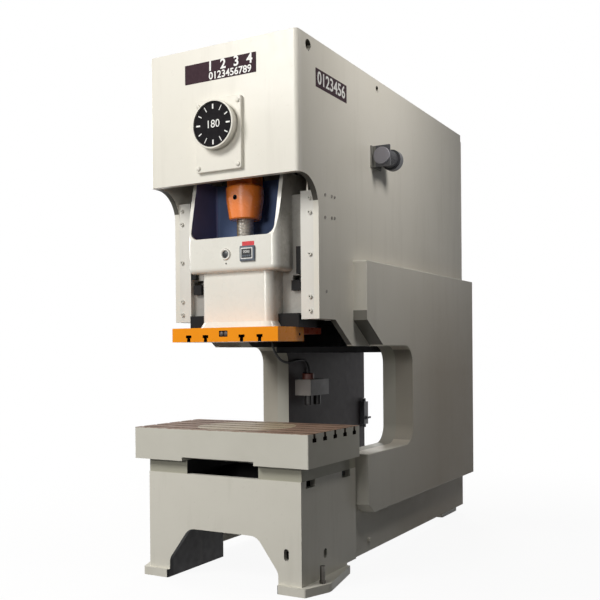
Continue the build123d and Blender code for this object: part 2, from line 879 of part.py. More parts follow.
# Clutch and brake drum on the shaft's tail, with ventilation slots
clutch_gap = 1.0
clutch_slots = 12
clutch_slot_size = (70.0, 18.0)
clutch_edge = 14.0
clutch_slot_share = 0.68
with BuildPart() as clutch:
    clutch_y = flywheel_y + flywheel_face + clutch_gap
    spindle(clutch_y, clutch_y + clutch_length, clutch_r, pinion_z)
    chamfer(clutch.edges().filter_by(GeomType.CIRCLE).group_by(Axis.Y)[-1], clutch_edge)
    with BuildSketch(at_y(clutch_y + clutch_length)):
        with Locations((0, pinion_z)):
            Circle(tail_r + shaft_gap)
            with PolarLocations(clutch_r * clutch_slot_share, clutch_slots):
                SlotOverall(*clutch_slot_size)
    extrude(amount=clutch_length, mode=Mode.SUBTRACT)
save(clutch, "clutch_brake")

# Motor pulley with its shaft end
pulley_shaft_reach = 60.0
with BuildPart() as pulley:
    spindle(flywheel_y, flywheel_y + flywheel_face, pulley_r + belt_depth, motor_z)
    grooved_rim(pulley_r + belt_depth, motor_z)
    spindle(motor_end_y - pulley_shaft_reach, flywheel_y, motor_shaft_r, motor_z)
save(pulley, "motor_pulley")

# Belts: closed loops round the flywheel and the pulley
with BuildPart() as belts:
    for y in belt_ys():
        with BuildSketch(at_y(y + belt_width)):
            with Locations((0, pinion_z)):
                Circle(flywheel_r)
            with Locations((0, motor_z)):
                Circle(pulley_r + belt_depth)
            make_hull()
            with BuildSketch(mode=Mode.PRIVATE) as inside:
                with Locations((0, pinion_z)):
                    Circle(flywheel_r - belt_depth + belt_gap)
                with Locations((0, motor_z)):
                    Circle(pulley_r + belt_gap)
                make_hull()
            add(inside.sketch, mode=Mode.SUBTRACT)
        extrude(amount=belt_width)
save(belts, "drive_belts")

# Main motor: ribbed barrel, end shields, feet and terminal box
motor_ribs = 20
rib_height = 12.0
rib_thick = 8.0
rib_turn = 9.0
shield_length = 40.0
shield_gap = 5.0
motor_foot_set = 70.0
terminal_box = (130.0, 100.0, 70.0)
terminal_round = 8.0
terminal_place = (0.4, 20.0)
motor_bore_depth = 70.0
with BuildPart() as motor:
    barrel_y = motor_end_y - motor_length
    spindle(barrel_y, motor_end_y, motor_r - rib_height, motor_z)
    with BuildSketch(at_y(motor_end_y - shield_length - shield_gap)):
        with Locations((0, motor_z)):
            with PolarLocations(motor_r - rib_height, motor_ribs, start_angle=rib_turn):
                Rectangle(2 * rib_height - 2, rib_thick)
    extrude(amount=motor_length - 2 * (shield_length + shield_gap))
    for shield_y in (barrel_y, motor_end_y - shield_length):
        spindle(shield_y, shield_y + shield_length, motor_r - 3, motor_z)
    with BuildSketch(Plane.XY.offset(throat_top)):
        with Locations((0, barrel_y + motor_length / 2)):
            Rectangle(2 * motor_r, motor_length - 2 * motor_foot_set)
    extrude(amount=motor_foot + 30)
    with BuildSketch(at_x(motor_r - rib_height - terminal_place[1])):
        with Locations((barrel_y + motor_length * terminal_place[0], motor_z + terminal_place[1])):
            RectangleRounded(terminal_box[0], terminal_box[1], terminal_round)
    extrude(amount=terminal_box[2])
    with BuildSketch(at_y(motor_end_y)):
        with Locations((0, motor_z)):
            Circle(motor_shaft_r + shaft_gap)
    extrude(amount=motor_bore_depth, mode=Mode.SUBTRACT)
save(motor, "main_motor")


# Ram: hood with an open well, lower block, foot flare and guide wings
with BuildPart() as slide:
    with BuildSketch(Plane.XY.offset(slide_hood_bottom)):
        with Locations((0, (slide_front_y + slide_back_y) / 2)):
            Rectangle(2 * slide_half, slide_back_y - slide_front_y)
    extrude(amount=slide_top - slide_hood_bottom)
    front_upright = slide.edges().filter_by(Axis.Z).group_by(Axis.Y)[0]
    fillet(front_upright, slide_corner)
    under = slide.faces().sort_by(Axis.Z)[0].edges()
    fillet(under, slide_corner * 0.6)
    with BuildSketch(at_x(-slide_half - 1)):
        with BuildLine():
            Polyline(
                (slide_front_y - 1, slide_hood_front_top),
                (slide_front_y + 4, slide_hood_front_top),
                (slide_front_y + slide_slope_set, slide_top + 1),
                (slide_front_y - 1, slide_top + 1),
                close=True,
            )
        make_face()
    extrude(amount=2 * slide_half + 2, mode=Mode.SUBTRACT)
    with BuildSketch(Plane.XY.offset(slide_top)):
        with Locations((0, (slide_front_y + slide_wall + slide_well_back_y) / 2)):
            RectangleRounded(
                2 * (slide_half - slide_wall),
                slide_well_back_y - slide_front_y - slide_wall,
                slide_corner - slide_wall,
            )
    extrude(amount=slide_well_floor - slide_top, mode=Mode.SUBTRACT)
    with BuildSketch(at_y(slide_front_y + slide_corner)) as mouth:
        with Locations((0, slide_hood_front_top + well_round + (slide_top - slide_hood_front_top) / 2)):
            Rectangle(2 * (slide_half - slide_wall), slide_top - slide_hood_front_top + 2 * well_round)
        for sign in (-1, 1):
            corner(mouth, (sign * (slide_half - slide_wall), slide_hood_front_top), well_round)
    extrude(amount=slide_corner + 1, mode=Mode.SUBTRACT)
    with BuildSketch(Plane.XY.offset(slide_bottom)):
        with Locations((0, (lower_front_y + slide_back_y) / 2)):
            RectangleRounded(2 * lower_half, slide_back_y - lower_front_y, lower_corner)
    extrude(amount=slide_well_floor - slide_bottom)
    with BuildSketch(Plane.XY.offset(slide_bottom)):
        with Locations((0, (lower_front_y + slide_back_y) / 2)):
            RectangleRounded(
                2 * (lower_half + flare_reach),
                slide_back_y - lower_front_y + 2 * flare_reach,
                lower_corner + flare_reach,
            )
    with BuildSketch(Plane.XY.offset(slide_bottom + flare_height)):
        with Locations((0, (lower_front_y + slide_back_y) / 2)):
            RectangleRounded(2 * lower_half, slide_back_y - lower_front_y, lower_corner)
    loft()
    for sign in (-1, 1):
        wing_in = lower_half - 20
        wing_front = cheek_y + gib_thick + guide_gap
        with BuildSketch(Plane.XY.offset(wing_bottom)):
            with Locations((sign * (wing_in + guide_in - guide_gap) / 2, wing_front + guide_depth / 2 - guide_gap)):
                Rectangle(guide_in - guide_gap - wing_in, guide_depth - 2 * guide_gap)
        extrude(amount=slide_well_floor - wing_bottom)
        with BuildSketch(Plane.XY.offset(slide_well_floor)):
            side_wall_x = slide_half - slide_wall
            with Locations((sign * (side_wall_x + guide_in - guide_gap) / 2, wing_front + guide_depth / 2 - guide_gap)):
                Rectangle(guide_in - guide_gap - side_wall_x, guide_depth - 2 * guide_gap)
        extrude(amount=wing_top - slide_well_floor)
    tunnel_depth = knock_depth - knock_cover
    with BuildSketch(at_x(-guide_in)):
        with Locations((cheek_y + gib_thick + knock_cover + tunnel_depth / 2, knock_bottom + knock_height / 2)):
            Rectangle(tunnel_depth, knock_height)
    extrude(amount=2 * guide_in, mode=Mode.SUBTRACT)
    for sign in (-1, 1):
        with BuildSketch(slab(sign, slide_half, guide_in - slide_half)):
            with Locations((cheek_y + gib_thick + knock_depth / 2, knock_bottom + knock_height / 2)):
                Rectangle(knock_depth, knock_height)
        extrude(amount=guide_in - slide_half, mode=Mode.SUBTRACT)
    with BuildSketch(Plane.XY.offset(slide_well_floor)):
        with Locations((0, ram_y)):
            Circle(seat_r + centre_gap)
    extrude(amount=-(slide_well_floor - ball_z + ball_r + seat_wall), mode=Mode.SUBTRACT)
save(slide, "slide")

# Cup that carries the ball, and the ring that keeps the ball in it
seat_gap = 0.3
seat_bottom = ball_z - ball_r - seat_wall
with BuildPart() as ball_seat:
    with BuildSketch(Plane.XY.offset(seat_bottom)):
        with Locations((0, ram_y)):
            Circle(seat_r)
    extrude(amount=ball_z - seat_bottom)
    with BuildSketch(at_y(ram_y)):
        with BuildLine():
            ThreePointArc(
                (0, ball_z - ball_r - seat_gap),
                ((ball_r + seat_gap) * sin(pi / 4), ball_z - (ball_r + seat_gap) * cos(pi / 4)),
                (ball_r + seat_gap, ball_z),
            )
            Polyline((ball_r + seat_gap, ball_z), (0, ball_z), (0, ball_z - ball_r - seat_gap))
        make_face()
    revolve(axis=Axis((0, ram_y, 0), (0, 0, 1)), mode=Mode.SUBTRACT)
save(ball_seat, "ball_seat")

with BuildPart() as retainer:
    with BuildSketch(Plane.XY.offset(ball_z)):
        with Locations((0, ram_y)):
            Circle(seat_r)
            Circle(ball_r + seat_gap, mode=Mode.SUBTRACT)
    extrude(amount=retainer_thick)
save(retainer, "ball_retainer")

# Adjusting screw with its ball
with BuildPart() as screw:
    with BuildSketch(at_y(ram_y)):
        with BuildLine():
            neck = sqrt(ball_r**2 - (screw_r - 8) ** 2)
            ThreePointArc(
                (0, ball_z - ball_r),
                (ball_r, ball_z),
                (screw_r - 8, ball_z + neck),
            )
            Polyline(
                (screw_r - 8, ball_z + neck),
                (screw_r - 8, ball_z + neck + 12),
                (screw_r, ball_z + neck + 24),
                (screw_r, screw_top - 5),
                (screw_r - 5, screw_top),
                (0, screw_top),
                (0, ball_z - ball_r),
            )
        make_face()
    revolve(axis=Axis((0, ram_y, 0), (0, 0, 1)))
save(screw, "adjusting_screw")

# Connecting rod: split big end, flat shank and the round sleeve round the screw
pin_z = crank_z + crank_r
rod_neck = 82.0
sight_hole_r = 12.0
sight_hole_z = 2128.0
with BuildPart() as rod:
    with BuildSketch(at_y(ram_y)):
        with BuildLine():
            Polyline(
                (0, rod_bottom),
                (rod_sleeve_foot_r - 6, rod_bottom),
                (rod_sleeve_foot_r, rod_bottom + 6),
                (rod_sleeve_r, rod_sleeve_top - 75),
                (rod_sleeve_r, rod_sleeve_top - 12),
                (rod_sleeve_r - 12, rod_sleeve_top),
                (0, rod_sleeve_top),
                close=True,
            )
        make_face()
    revolve(axis=Axis((0, ram_y, 0), (0, 0, 1)))
    with BuildSketch(at_y(ram_y + rod_face / 2)):
        with Locations((0, (rod_sleeve_top - 20 + pin_z) / 2)):
            Rectangle(2 * rod_neck, pin_z - rod_sleeve_top + 20)
        with Locations((0, pin_z)):
            Circle(big_end_r)
        with Locations((0, pin_z + big_end_r / 2)):
            Rectangle(2 * big_end_r, big_end_r, mode=Mode.SUBTRACT)
    extrude(amount=rod_face)
    with BuildSketch(at_y(ram_y + rod_face / 2)):
        with Locations((0, pin_z)):
            Circle(pin_r + shaft_gap)
    extrude(amount=rod_face, mode=Mode.SUBTRACT)
    with BuildSketch(Plane.XY.offset(rod_bottom)):
        with Locations((0, ram_y)):
            Circle(screw_r + shaft_gap)
    extrude(amount=screw_top + 90 - rod_bottom, mode=Mode.SUBTRACT)
    with BuildSketch(at_y(ram_y)):
        with Locations((0, sight_hole_z)):
            Circle(sight_hole_r)
    extrude(amount=rod_sleeve_r + 10, mode=Mode.SUBTRACT)
save(rod, "connecting_rod")

with BuildPart() as cap:
    with BuildSketch(at_y(ram_y + rod_face / 2)):
        with Locations((0, pin_z)):
            Circle(big_end_r)
            Circle(pin_r + shaft_gap, mode=Mode.SUBTRACT)
        with Locations((0, pin_z - big_end_r / 2 + 0.5)):
            Rectangle(2 * big_end_r, big_end_r + 1, mode=Mode.SUBTRACT)
    extrude(amount=rod_face)
save(cap, "rod_cap")

with BuildPart() as crank_pin:
    with BuildSketch(at_y(ram_y + pin_length / 2 - web_gap)):
        with Locations((0, pin_z)):
            Circle(pin_r)
    extrude(amount=pin_length - 2 * web_gap)
save(crank_pin, "crank_pin")

# Slide plate with T-slots that open downwards, and its thinner tail
with BuildPart() as slide_plate:
    with BuildSketch(Plane.XY.offset(slide_bottom - plate_thick)):
        with Locations((0, plate_front_y + plate_depth / 2)):
            Rectangle(2 * plate_half, plate_depth)
    extrude(amount=plate_thick)
    with BuildSketch(Plane.XY.offset(slide_bottom - tail_plate_thick)):
        with Locations((0, (plate_front_y + plate_depth + tail_plate_y) / 2)):
            Rectangle(2 * tail_plate_half, tail_plate_y - plate_front_y - plate_depth)
    extrude(amount=tail_plate_thick)
    plate_bottom = slide_bottom - plate_thick
    with BuildSketch(at_y(plate_front_y + plate_depth)):
        for slot_x in ram_slots:
            for sign in (-1, 1):
                with Locations((sign * slot_x, plate_bottom + ram_slot_depth / 2)):
                    Rectangle(ram_slot_width, ram_slot_depth)
                with Locations((sign * slot_x, plate_bottom + ram_slot_depth - ram_slot_head_depth / 2)):
                    Rectangle(ram_slot_head_width, ram_slot_head_depth)
    extrude(amount=plate_depth, mode=Mode.SUBTRACT)
    with BuildSketch(Plane.XY.offset(plate_bottom)):
        with Locations((0, ram_y)):
            Circle(shank_r)
    extrude(amount=shank_depth, mode=Mode.SUBTRACT)
    clamp_z, clamp_width, clamp_height, clamp_depth = shank_clamp
    clamp_round = 5.0
    with BuildSketch(at_y(plate_front_y + clamp_depth)):
        with Locations((0, clamp_z)):
            RectangleRounded(clamp_width, clamp_height, clamp_round)
    extrude(amount=clamp_depth, mode=Mode.SUBTRACT)
    for sign in (-1, 1):
        with BuildSketch(at_x(sign * plate_half)):
            with Locations(plate_hole):
                Circle(plate_hole_r)
        extrude(amount=-sign * 2 * plate_hole_r, mode=Mode.SUBTRACT)
save(slide_plate, "slide_plate")

# Knock-out bar in its slot through the ram
knock_gap = 0.3
knock_lug_set = 10.0
wing_front_y = cheek_y + gib_thick + guide_gap
knock_y = cheek_y + gib_thick + knock_cover + (knock_depth - knock_cover) / 2
knock_lug_y = cheek_y + knock_lug_set
knock_edge = 4.0
with BuildPart() as knock:
    bar_depth, bar_height = knock_bar
    with BuildSketch(Plane.XY.offset(knock_bottom + knock_gap)):
        with Locations((0, knock_y)):
            Rectangle(2 * knock_bar_half, bar_depth)
    extrude(amount=bar_height)
    for sign in (-1, 1):
        with BuildSketch(Plane.XY.offset(knock_bottom + knock_gap)):
            with Locations((sign * (knock_lug_in + knock_bar_half) / 2, (knock_lug_y + knock_y) / 2)):
                Rectangle(knock_bar_half - knock_lug_in, knock_y - knock_lug_y)
        extrude(amount=bar_height)
    chamfer(knock.edges().filter_by(Axis.Y).group_by(Axis.X)[0], knock_edge)
    chamfer(knock.edges().filter_by(Axis.Y).group_by(Axis.X)[-1], knock_edge)
save(knock, "knockout_bar")

# Stops inside the gibs, over the lugs of the knock-out bar
stop_in, stop_front, stop_back, stop_bottom, stop_top = knock_stop
with BuildPart() as stops:
    for sign in (-1, 1):
        with BuildSketch(slab(sign, stop_in, side_in - gib_width - stop_in)):
            with Locations((front_y + (stop_front + stop_back) / 2, (stop_bottom + stop_top) / 2)):
                Rectangle(stop_back - stop_front, stop_top - stop_bottom)
        extrude(amount=side_in - gib_width - stop_in)
save(stops, "knockout_stops")

# Shoes under the wings, cut back along the ram's flared foot
shoe_gap = 0.4
with BuildPart() as shoes:
    for sign in (-1, 1):
        for depth, near, reach in (
            (wing_front_y - shoe_front_y, shoe_front_y, shoe_half),
            (guide_depth * 0.7, wing_front_y, guide_in - guide_wall),
        ):
            with BuildSketch(at_y(near + depth)):
                with BuildLine():
                    Polyline(
                        (sign * (lower_half + shoe_gap), wing_bottom),
                        (sign * (lower_half + shoe_gap), slide_bottom + flare_height),
                        (sign * (lower_half + flare_reach + shoe_gap), slide_bottom),
                        (sign * reach, slide_bottom),
                        (sign * reach, wing_bottom),
                        close=True,
                    )
                make_face()
            extrude(amount=depth)
save(shoes, "wing_shoes")

# Balance cylinders and their rods
gland = 16.0
piston = 40.0
with BuildPart() as cylinders:
    for sign in (-1, 1):
        with BuildSketch(Plane.XY.offset(balance_bottom)):
            with Locations((sign * balance_x, balance_y)):
                Circle(balance_r)
        extrude(amount=balance_length)
        with BuildSketch(Plane.XY.offset(balance_bottom + gland)):
            with Locations((sign * balance_x, balance_y)):
                Circle(balance_bore_r)
        extrude(amount=balance_length - 2 * gland, mode=Mode.SUBTRACT)
        with BuildSketch(Plane.XY.offset(balance_bottom)):
            with Locations((sign * balance_x, balance_y)):
                Circle(balance_rod_r + shaft_gap)
        extrude(amount=gland, mode=Mode.SUBTRACT)
save(cylinders, "balance_cylinders")

with BuildPart() as rods:
    piston_z = balance_bottom + balance_length - gland - piston - 8
    for sign in (-1, 1):
        with BuildSketch(Plane.XY.offset(wing_top)):
            with Locations((sign * balance_x, balance_y)):
                Circle(balance_rod_r)
        extrude(amount=piston_z - wing_top)
        with BuildSketch(Plane.XY.offset(piston_z)):
            with Locations((sign * balance_x, balance_y)):
                Circle(balance_bore_r - guide_gap)
        extrude(amount=piston)
save(rods, "balance_rods")

# Dial: mounting plate, drum and the disc on the crankshaft's end
dial_back = 8.0
dial_sheet = 6.0
dial_plate_round = 14.0
dial_plate_rim = 5.0
dial_rim_round = 4.0
disc_gap = 1.0
with BuildPart() as dial_plate:
    with BuildSketch(at_y(front_y)):
        with Locations((0, (dial_plate_bottom + dial_plate_top) / 2)):
            RectangleRounded(2 * dial_plate_half, dial_plate_top - dial_plate_bottom, dial_plate_round)
        with Locations((0, dial_z)):
            Circle(dial_hole_r, mode=Mode.SUBTRACT)
    extrude(amount=dial_plate_thick)
    fillet(dial_plate.faces().sort_by(Axis.Y)[0].outer_wire().edges(), dial_plate_rim)
save(dial_plate, "dial_plate")

with BuildPart() as dial_housing:
    drum = dial_reach - dial_plate_thick
    with BuildSketch(at_y(front_y - dial_plate_thick)):
        with Locations((0, dial_z)):
            Circle(dial_drum_r)
            Circle(dial_hole_r, mode=Mode.SUBTRACT)
    extrude(amount=dial_back)
    with BuildSketch(at_y(front_y - dial_plate_thick)):
        with Locations((0, dial_z)):
            Circle(dial_drum_r)
            Circle(dial_drum_r - dial_sheet, mode=Mode.SUBTRACT)
    extrude(amount=drum - dial_recess - dial_disc_thick - disc_gap)
    with BuildSketch(at_y(dial_disc_y + dial_disc_thick + disc_gap + dial_bezel / 2)):
        with Locations((0, dial_z)):
            Circle(dial_r)
            Circle(dial_drum_r - dial_sheet, mode=Mode.SUBTRACT)
    extrude(amount=dial_bezel / 2)
    with BuildSketch(at_y(dial_disc_y + dial_disc_thick + disc_gap)):
        with Locations((0, dial_z)):
            Circle(dial_r)
            Circle(dial_face_r + disc_gap, mode=Mode.SUBTRACT)
    extrude(amount=dial_disc_thick + disc_gap + dial_recess)
    rim = dial_housing.edges().filter_by(GeomType.CIRCLE).group_by(Axis.Y)[0]
    fillet(rim.sort_by(SortBy.RADIUS)[-1], dial_rim_round)
save(dial_housing, "dial_housing")

with BuildPart() as dial_disc:
    with BuildSketch(at_y(dial_disc_y + dial_disc_thick)):
        with Locations((0, dial_z)):
            Circle(dial_face_r)
    extrude(amount=dial_disc_thick)
save(dial_disc, "dial_disc")

# Counter on the ram's front wall
counter_place = (115.0, 1802.0)
counter_size = (94.0, 84.0)
counter_proud = 14.0
counter_round = 5.0
counter_edge = 3.0
with BuildPart() as counter:
    with BuildSketch(at_y(slide_front_y)):
        with Locations(counter_place):
            RectangleRounded(*counter_size, counter_round)
    extrude(amount=counter_proud)
    chamfer(counter.faces().sort_by(Axis.Y)[0].edges(), counter_edge)
save(counter, "counter")

# Lubrication pump high on the right side
pump_x = 547.0
pump_z = crank_z - 40.0
pump_y = front_y + 940.0
pump_r = 52.0
pump_cap_r = 64.0
pump_cap_round = 10.0
flange_round = 5.0
first_ring = 10.0
bracket_sheet = 8.0
bracket_height = 130.0
bracket_length = 150.0
bracket_corner = 6.0


def pump_stretch(start, length, radius):
    """Round stretch of the pump along Y."""
    with BuildSketch(at_y(pump_y + start + length)) as section:
        with Locations((pump_x, pump_z)):
            Circle(radius)
    extrude(section.sketch, amount=length)


pump_rings = 7
ring_pitch = 16.0
ring_thick = 8.0
ring_height = 6.0
barrel_length = 130.0
cap_length = 55.0
flange_thick = 16.0
with BuildPart() as pump:
    pump_stretch(bracket_sheet, barrel_length, pump_r - ring_height)
    for rib in range(pump_rings):
        pump_stretch(bracket_sheet + first_ring + rib * ring_pitch, ring_thick, pump_r)
    pump_stretch(bracket_sheet + barrel_length, cap_length, pump_cap_r)
    fillet(pump.edges().filter_by(GeomType.CIRCLE).group_by(Axis.Y)[-1], pump_cap_round)
    with BuildSketch(at_x(head_half)):
        with Locations((pump_y + bracket_length / 3, pump_z)):
            Rectangle(bracket_length, bracket_height)
    extrude(amount=bracket_sheet)
    with BuildSketch(at_y(pump_y + bracket_sheet)):
        with Locations(((head_half + pump_x + pump_r) / 2, pump_z)):
            RectangleRounded(pump_x + pump_r - head_half, bracket_height, bracket_corner)
    extrude(amount=bracket_sheet)
save(pump, "lube_pump")

with BuildPart() as pump_flange:
    pump_stretch(-flange_thick, flange_thick, pump_r)
    fillet(pump_flange.edges().filter_by(GeomType.CIRCLE).group_by(Axis.Y)[0], flange_round)
save(pump_flange, "lube_pump_flange")

# Air service unit on the left column's inner wall: block, regulator head, bowls and the hose's elbow
unit_y = throat_y + 90.0
unit_z = 950.0
unit_size = (129.0, 285.0, 112.0)
unit_corner = 6.0
regulator_r = 42.0
regulator_height = 46.0
bowl_r = 27.0
bowl_height = 74.0
bowl_x = -column_in + 70.5
bowl_ys = (unit_y + 70.0, unit_y + 205.0)
elbow_size = 30.0
elbow_z = 1440.0
elbow_y = throat_y - 265.0
port_x = -column_in + 14.0
port_y = unit_y + 195.0
with BuildPart() as air_unit:
    with BuildSketch(Plane.XY.offset(unit_z)):
        with Locations((-column_in + unit_size[0] / 2, unit_y + unit_size[1] / 2)):
            RectangleRounded(unit_size[0], unit_size[1], unit_corner)
    extrude(amount=unit_size[2])
    with BuildSketch(Plane.XY.offset(unit_z + unit_size[2])):
        with Locations((bowl_x, bowl_ys[0])):
            Circle(regulator_r)
    extrude(amount=regulator_height)
    with BuildSketch(Plane.XY.offset(unit_z)):
        for bowl_y in bowl_ys:
            with Locations((bowl_x, bowl_y)):
                Circle(bowl_r)
    extrude(amount=-bowl_height)
    fillet(air_unit.edges().filter_by(GeomType.CIRCLE).group_by(Axis.Z)[0], 8)
    fillet(air_unit.edges().filter_by(GeomType.CIRCLE).group_by(Axis.Z)[-1], 6)
    with BuildSketch(Plane.XY.offset(elbow_z)):
        with Locations((-column_in + elbow_size / 2, elbow_y)):
            RectangleRounded(elbow_size, elbow_size, unit_corner)
    extrude(amount=elbow_size)
save(air_unit, "air_unit")

# Air hose down the left column's inner wall, from an elbow on the wall to the unit's port
hose_r = 8.0
port_top = unit_z + unit_size[2]
hose_points = [
    (port_x, elbow_y, elbow_z),
    (port_x, elbow_y, elbow_z - 60.0),
    (port_x, elbow_y + 14.0, elbow_z - 120.0),
    (port_x, elbow_y + 60.0, elbow_z - 190.0),
    (port_x, elbow_y + 140.0, elbow_z - 242.0),
    (port_x, elbow_y + 240.0, port_top + 122.0),
    (port_x, port_y - 170.0, port_top + 138.0),
    (port_x, port_y - 59.0, port_top + 143.0),
    (port_x, port_y, port_top + 84.0),
    (port_x, port_y, port_top),
]
hose_vectors = [Vector(*place) for place in hose_points]
hose_radii = []
for before, here, after in zip(hose_vectors, hose_vectors[1:], hose_vectors[2:]):
    turn = (here - before).get_angle(after - here)
    shorter = min((here - before).length, (after - here).length)
    hose_radii.append(0.45 * shorter / tan(radians(turn / 2)))
print("hose radii", [round(radius) for radius in hose_radii])
with BuildPart() as hose:
    with BuildLine() as route:
        FilletPolyline(*hose_points, radius=hose_radii)
    hose_path = route.wire()
    with BuildSketch(Plane(origin=hose_path @ 0, z_dir=hose_path % 0)):
        Circle(hose_r)
    sweep(path=hose_path)
print("hose volume share", round(hose.part.volume / (pi * hose_r**2 * hose_path.length), 4))
save(hose, "air_hose")

# Shut-off valve at the rear edge of the left column, with a lever that turns
valve_z = 660.0
valve_height = 185.0
valve_width = 38.0
valve_depth = 80.0
valve_y = rear_y - 45.0
stem_z = valve_z + 52.0
stem_r = 7.0
stem_length = 22.0
valve_round = 4.0
union_r = 15.0
union_length = 26.0
with BuildPart() as valve:
    with BuildSketch(Plane.XY.offset(valve_z)):
        with Locations((-column_in + valve_width / 2, valve_y)):
            RectangleRounded(valve_width, valve_depth, valve_round)
    extrude(amount=valve_height)
    for end_z, length in ((valve_z + valve_height, union_length), (valve_z, -union_length)):
        with BuildSketch(Plane.XY.offset(end_z)):
            with Locations((-column_in + valve_width / 2, valve_y)):
                RegularPolygon(union_r, 6)
        extrude(amount=length)
    with BuildSketch(at_x(-column_in + valve_width)):
        with Locations((valve_y, stem_z)):
            Circle(stem_r)
    extrude(amount=stem_length)
save(valve, "rear_valve")

lever_thick = 8.0
lever_boss_r = 15.0
lever_length = 74.0
lever_width = 17.0
lever_gap = 1.0
lever_round = 7.0
with BuildPart() as lever:
    with BuildSketch(at_x(-column_in + valve_width + lever_gap)):
        with Locations((valve_y, stem_z)):
            Circle(lever_boss_r)
        with Locations((valve_y + lever_length / 2, stem_z)):
            RectangleRounded(lever_length, lever_width, lever_round)
        with Locations((valve_y, stem_z)):
            Circle(stem_r + shaft_gap, mode=Mode.SUBTRACT)
    extrude(amount=lever_thick)
save(lever, "valve_lever")
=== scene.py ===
import math

import bmesh
import bpy
from mathutils import Matrix, Vector


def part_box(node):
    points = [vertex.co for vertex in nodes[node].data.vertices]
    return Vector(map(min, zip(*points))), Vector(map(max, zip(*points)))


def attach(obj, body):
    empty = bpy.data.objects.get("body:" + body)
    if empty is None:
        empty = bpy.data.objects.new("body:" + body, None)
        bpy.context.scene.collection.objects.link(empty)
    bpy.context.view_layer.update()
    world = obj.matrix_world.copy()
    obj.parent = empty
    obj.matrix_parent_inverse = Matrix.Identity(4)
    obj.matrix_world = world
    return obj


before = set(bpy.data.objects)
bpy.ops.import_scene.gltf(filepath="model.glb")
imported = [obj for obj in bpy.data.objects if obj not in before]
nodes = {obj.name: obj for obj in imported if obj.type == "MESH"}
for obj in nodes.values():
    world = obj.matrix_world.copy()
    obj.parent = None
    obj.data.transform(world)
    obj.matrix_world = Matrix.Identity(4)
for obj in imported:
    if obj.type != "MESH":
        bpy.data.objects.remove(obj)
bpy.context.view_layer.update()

# Places that the CAD nodes give
head_low, head_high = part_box("head_front_plate")
plate_low, plate_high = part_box("dial_plate")
disc_low, disc_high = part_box("dial_disc")
side_low, side_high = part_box("side_plate_right")
counter_low, counter_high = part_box("counter")
orange_low, orange_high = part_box("slide_plate")
bolster_low, bolster_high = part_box("bolster")
housing_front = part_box("dial_housing")[0].y
ram_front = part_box("slide")[0].y
gib_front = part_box("front_gibs")[0].y
head_y = head_low.y
side_x = head_high.x  # the side plates' own boxes reach past it, to their lugs
disc_radius = (disc_high.x - disc_low.x) / 2
disc_middle = (disc_low.z + disc_high.z) / 2

# Places inside the nodes, where a paint ends
skin = 0.0005  # how far behind a surface an inside starts
throat_front = -0.70  # the throat's faces lie behind this
throat_top = 1.5
shade_low = 0.85  # the painted shade in the throat deepens from here
shade_high = 1.44  # to here
rear_shade_low = 1.1  # the painted shade low at the rear thins out from here
rear_shade_high = 2.0  # to here
ceiling_z = 1.46
overhang_z = 1.3  # faces over this that look down are under the head and get painted shade
tail_y = orange_low.y + 0.287
ram_slots = (0.118, 0.232)
ram_slot_half = 0.0195
ram_slot_height = 0.0385
side_hole = (head_y + 0.250, 1.358)
side_hole_half = 0.0095
side_hole_end = 0.32  # the holes run inward to this X
clamp_z = 1.364
clamp_half_width = 0.0285
clamp_half_height = 0.0175
clamp_depth = 0.0085
bolster_middle = (bolster_low.y + bolster_high.y) / 2
slot_pitch = 0.120
slot_half = 0.0235
slot_depth = 0.0475
bare_rim = 0.0015  # height of the bolster's unpainted rim
socket_floor = gib_front - 0.0006
pump_foot = side_x + 0.025
unit_top = 1.062
unit_body = 0.1125  # height of the air unit's block, over its bowls
oil_hole_z = 2.128
oil_hole_radius = 0.0138
well_wall = 0.024
well_half = 0.299 - well_wall
well_front = ram_front + well_wall
well_back = ram_front + 0.284
well_floor = 1.745
block_half = 0.232  # half the width of the ram's lower block
wing_front = ram_front + 0.165

# Colours that several paints share
ivory_paint = (0.80, 0.775, 0.705)
ivory_shade = (0.765, 0.74, 0.665)
old_grime = (0.36, 0.33, 0.27)
# painted shade for slots and for faces that look down
painted_shade_dark = (0.022, 0.017, 0.014)


# Shader nodes


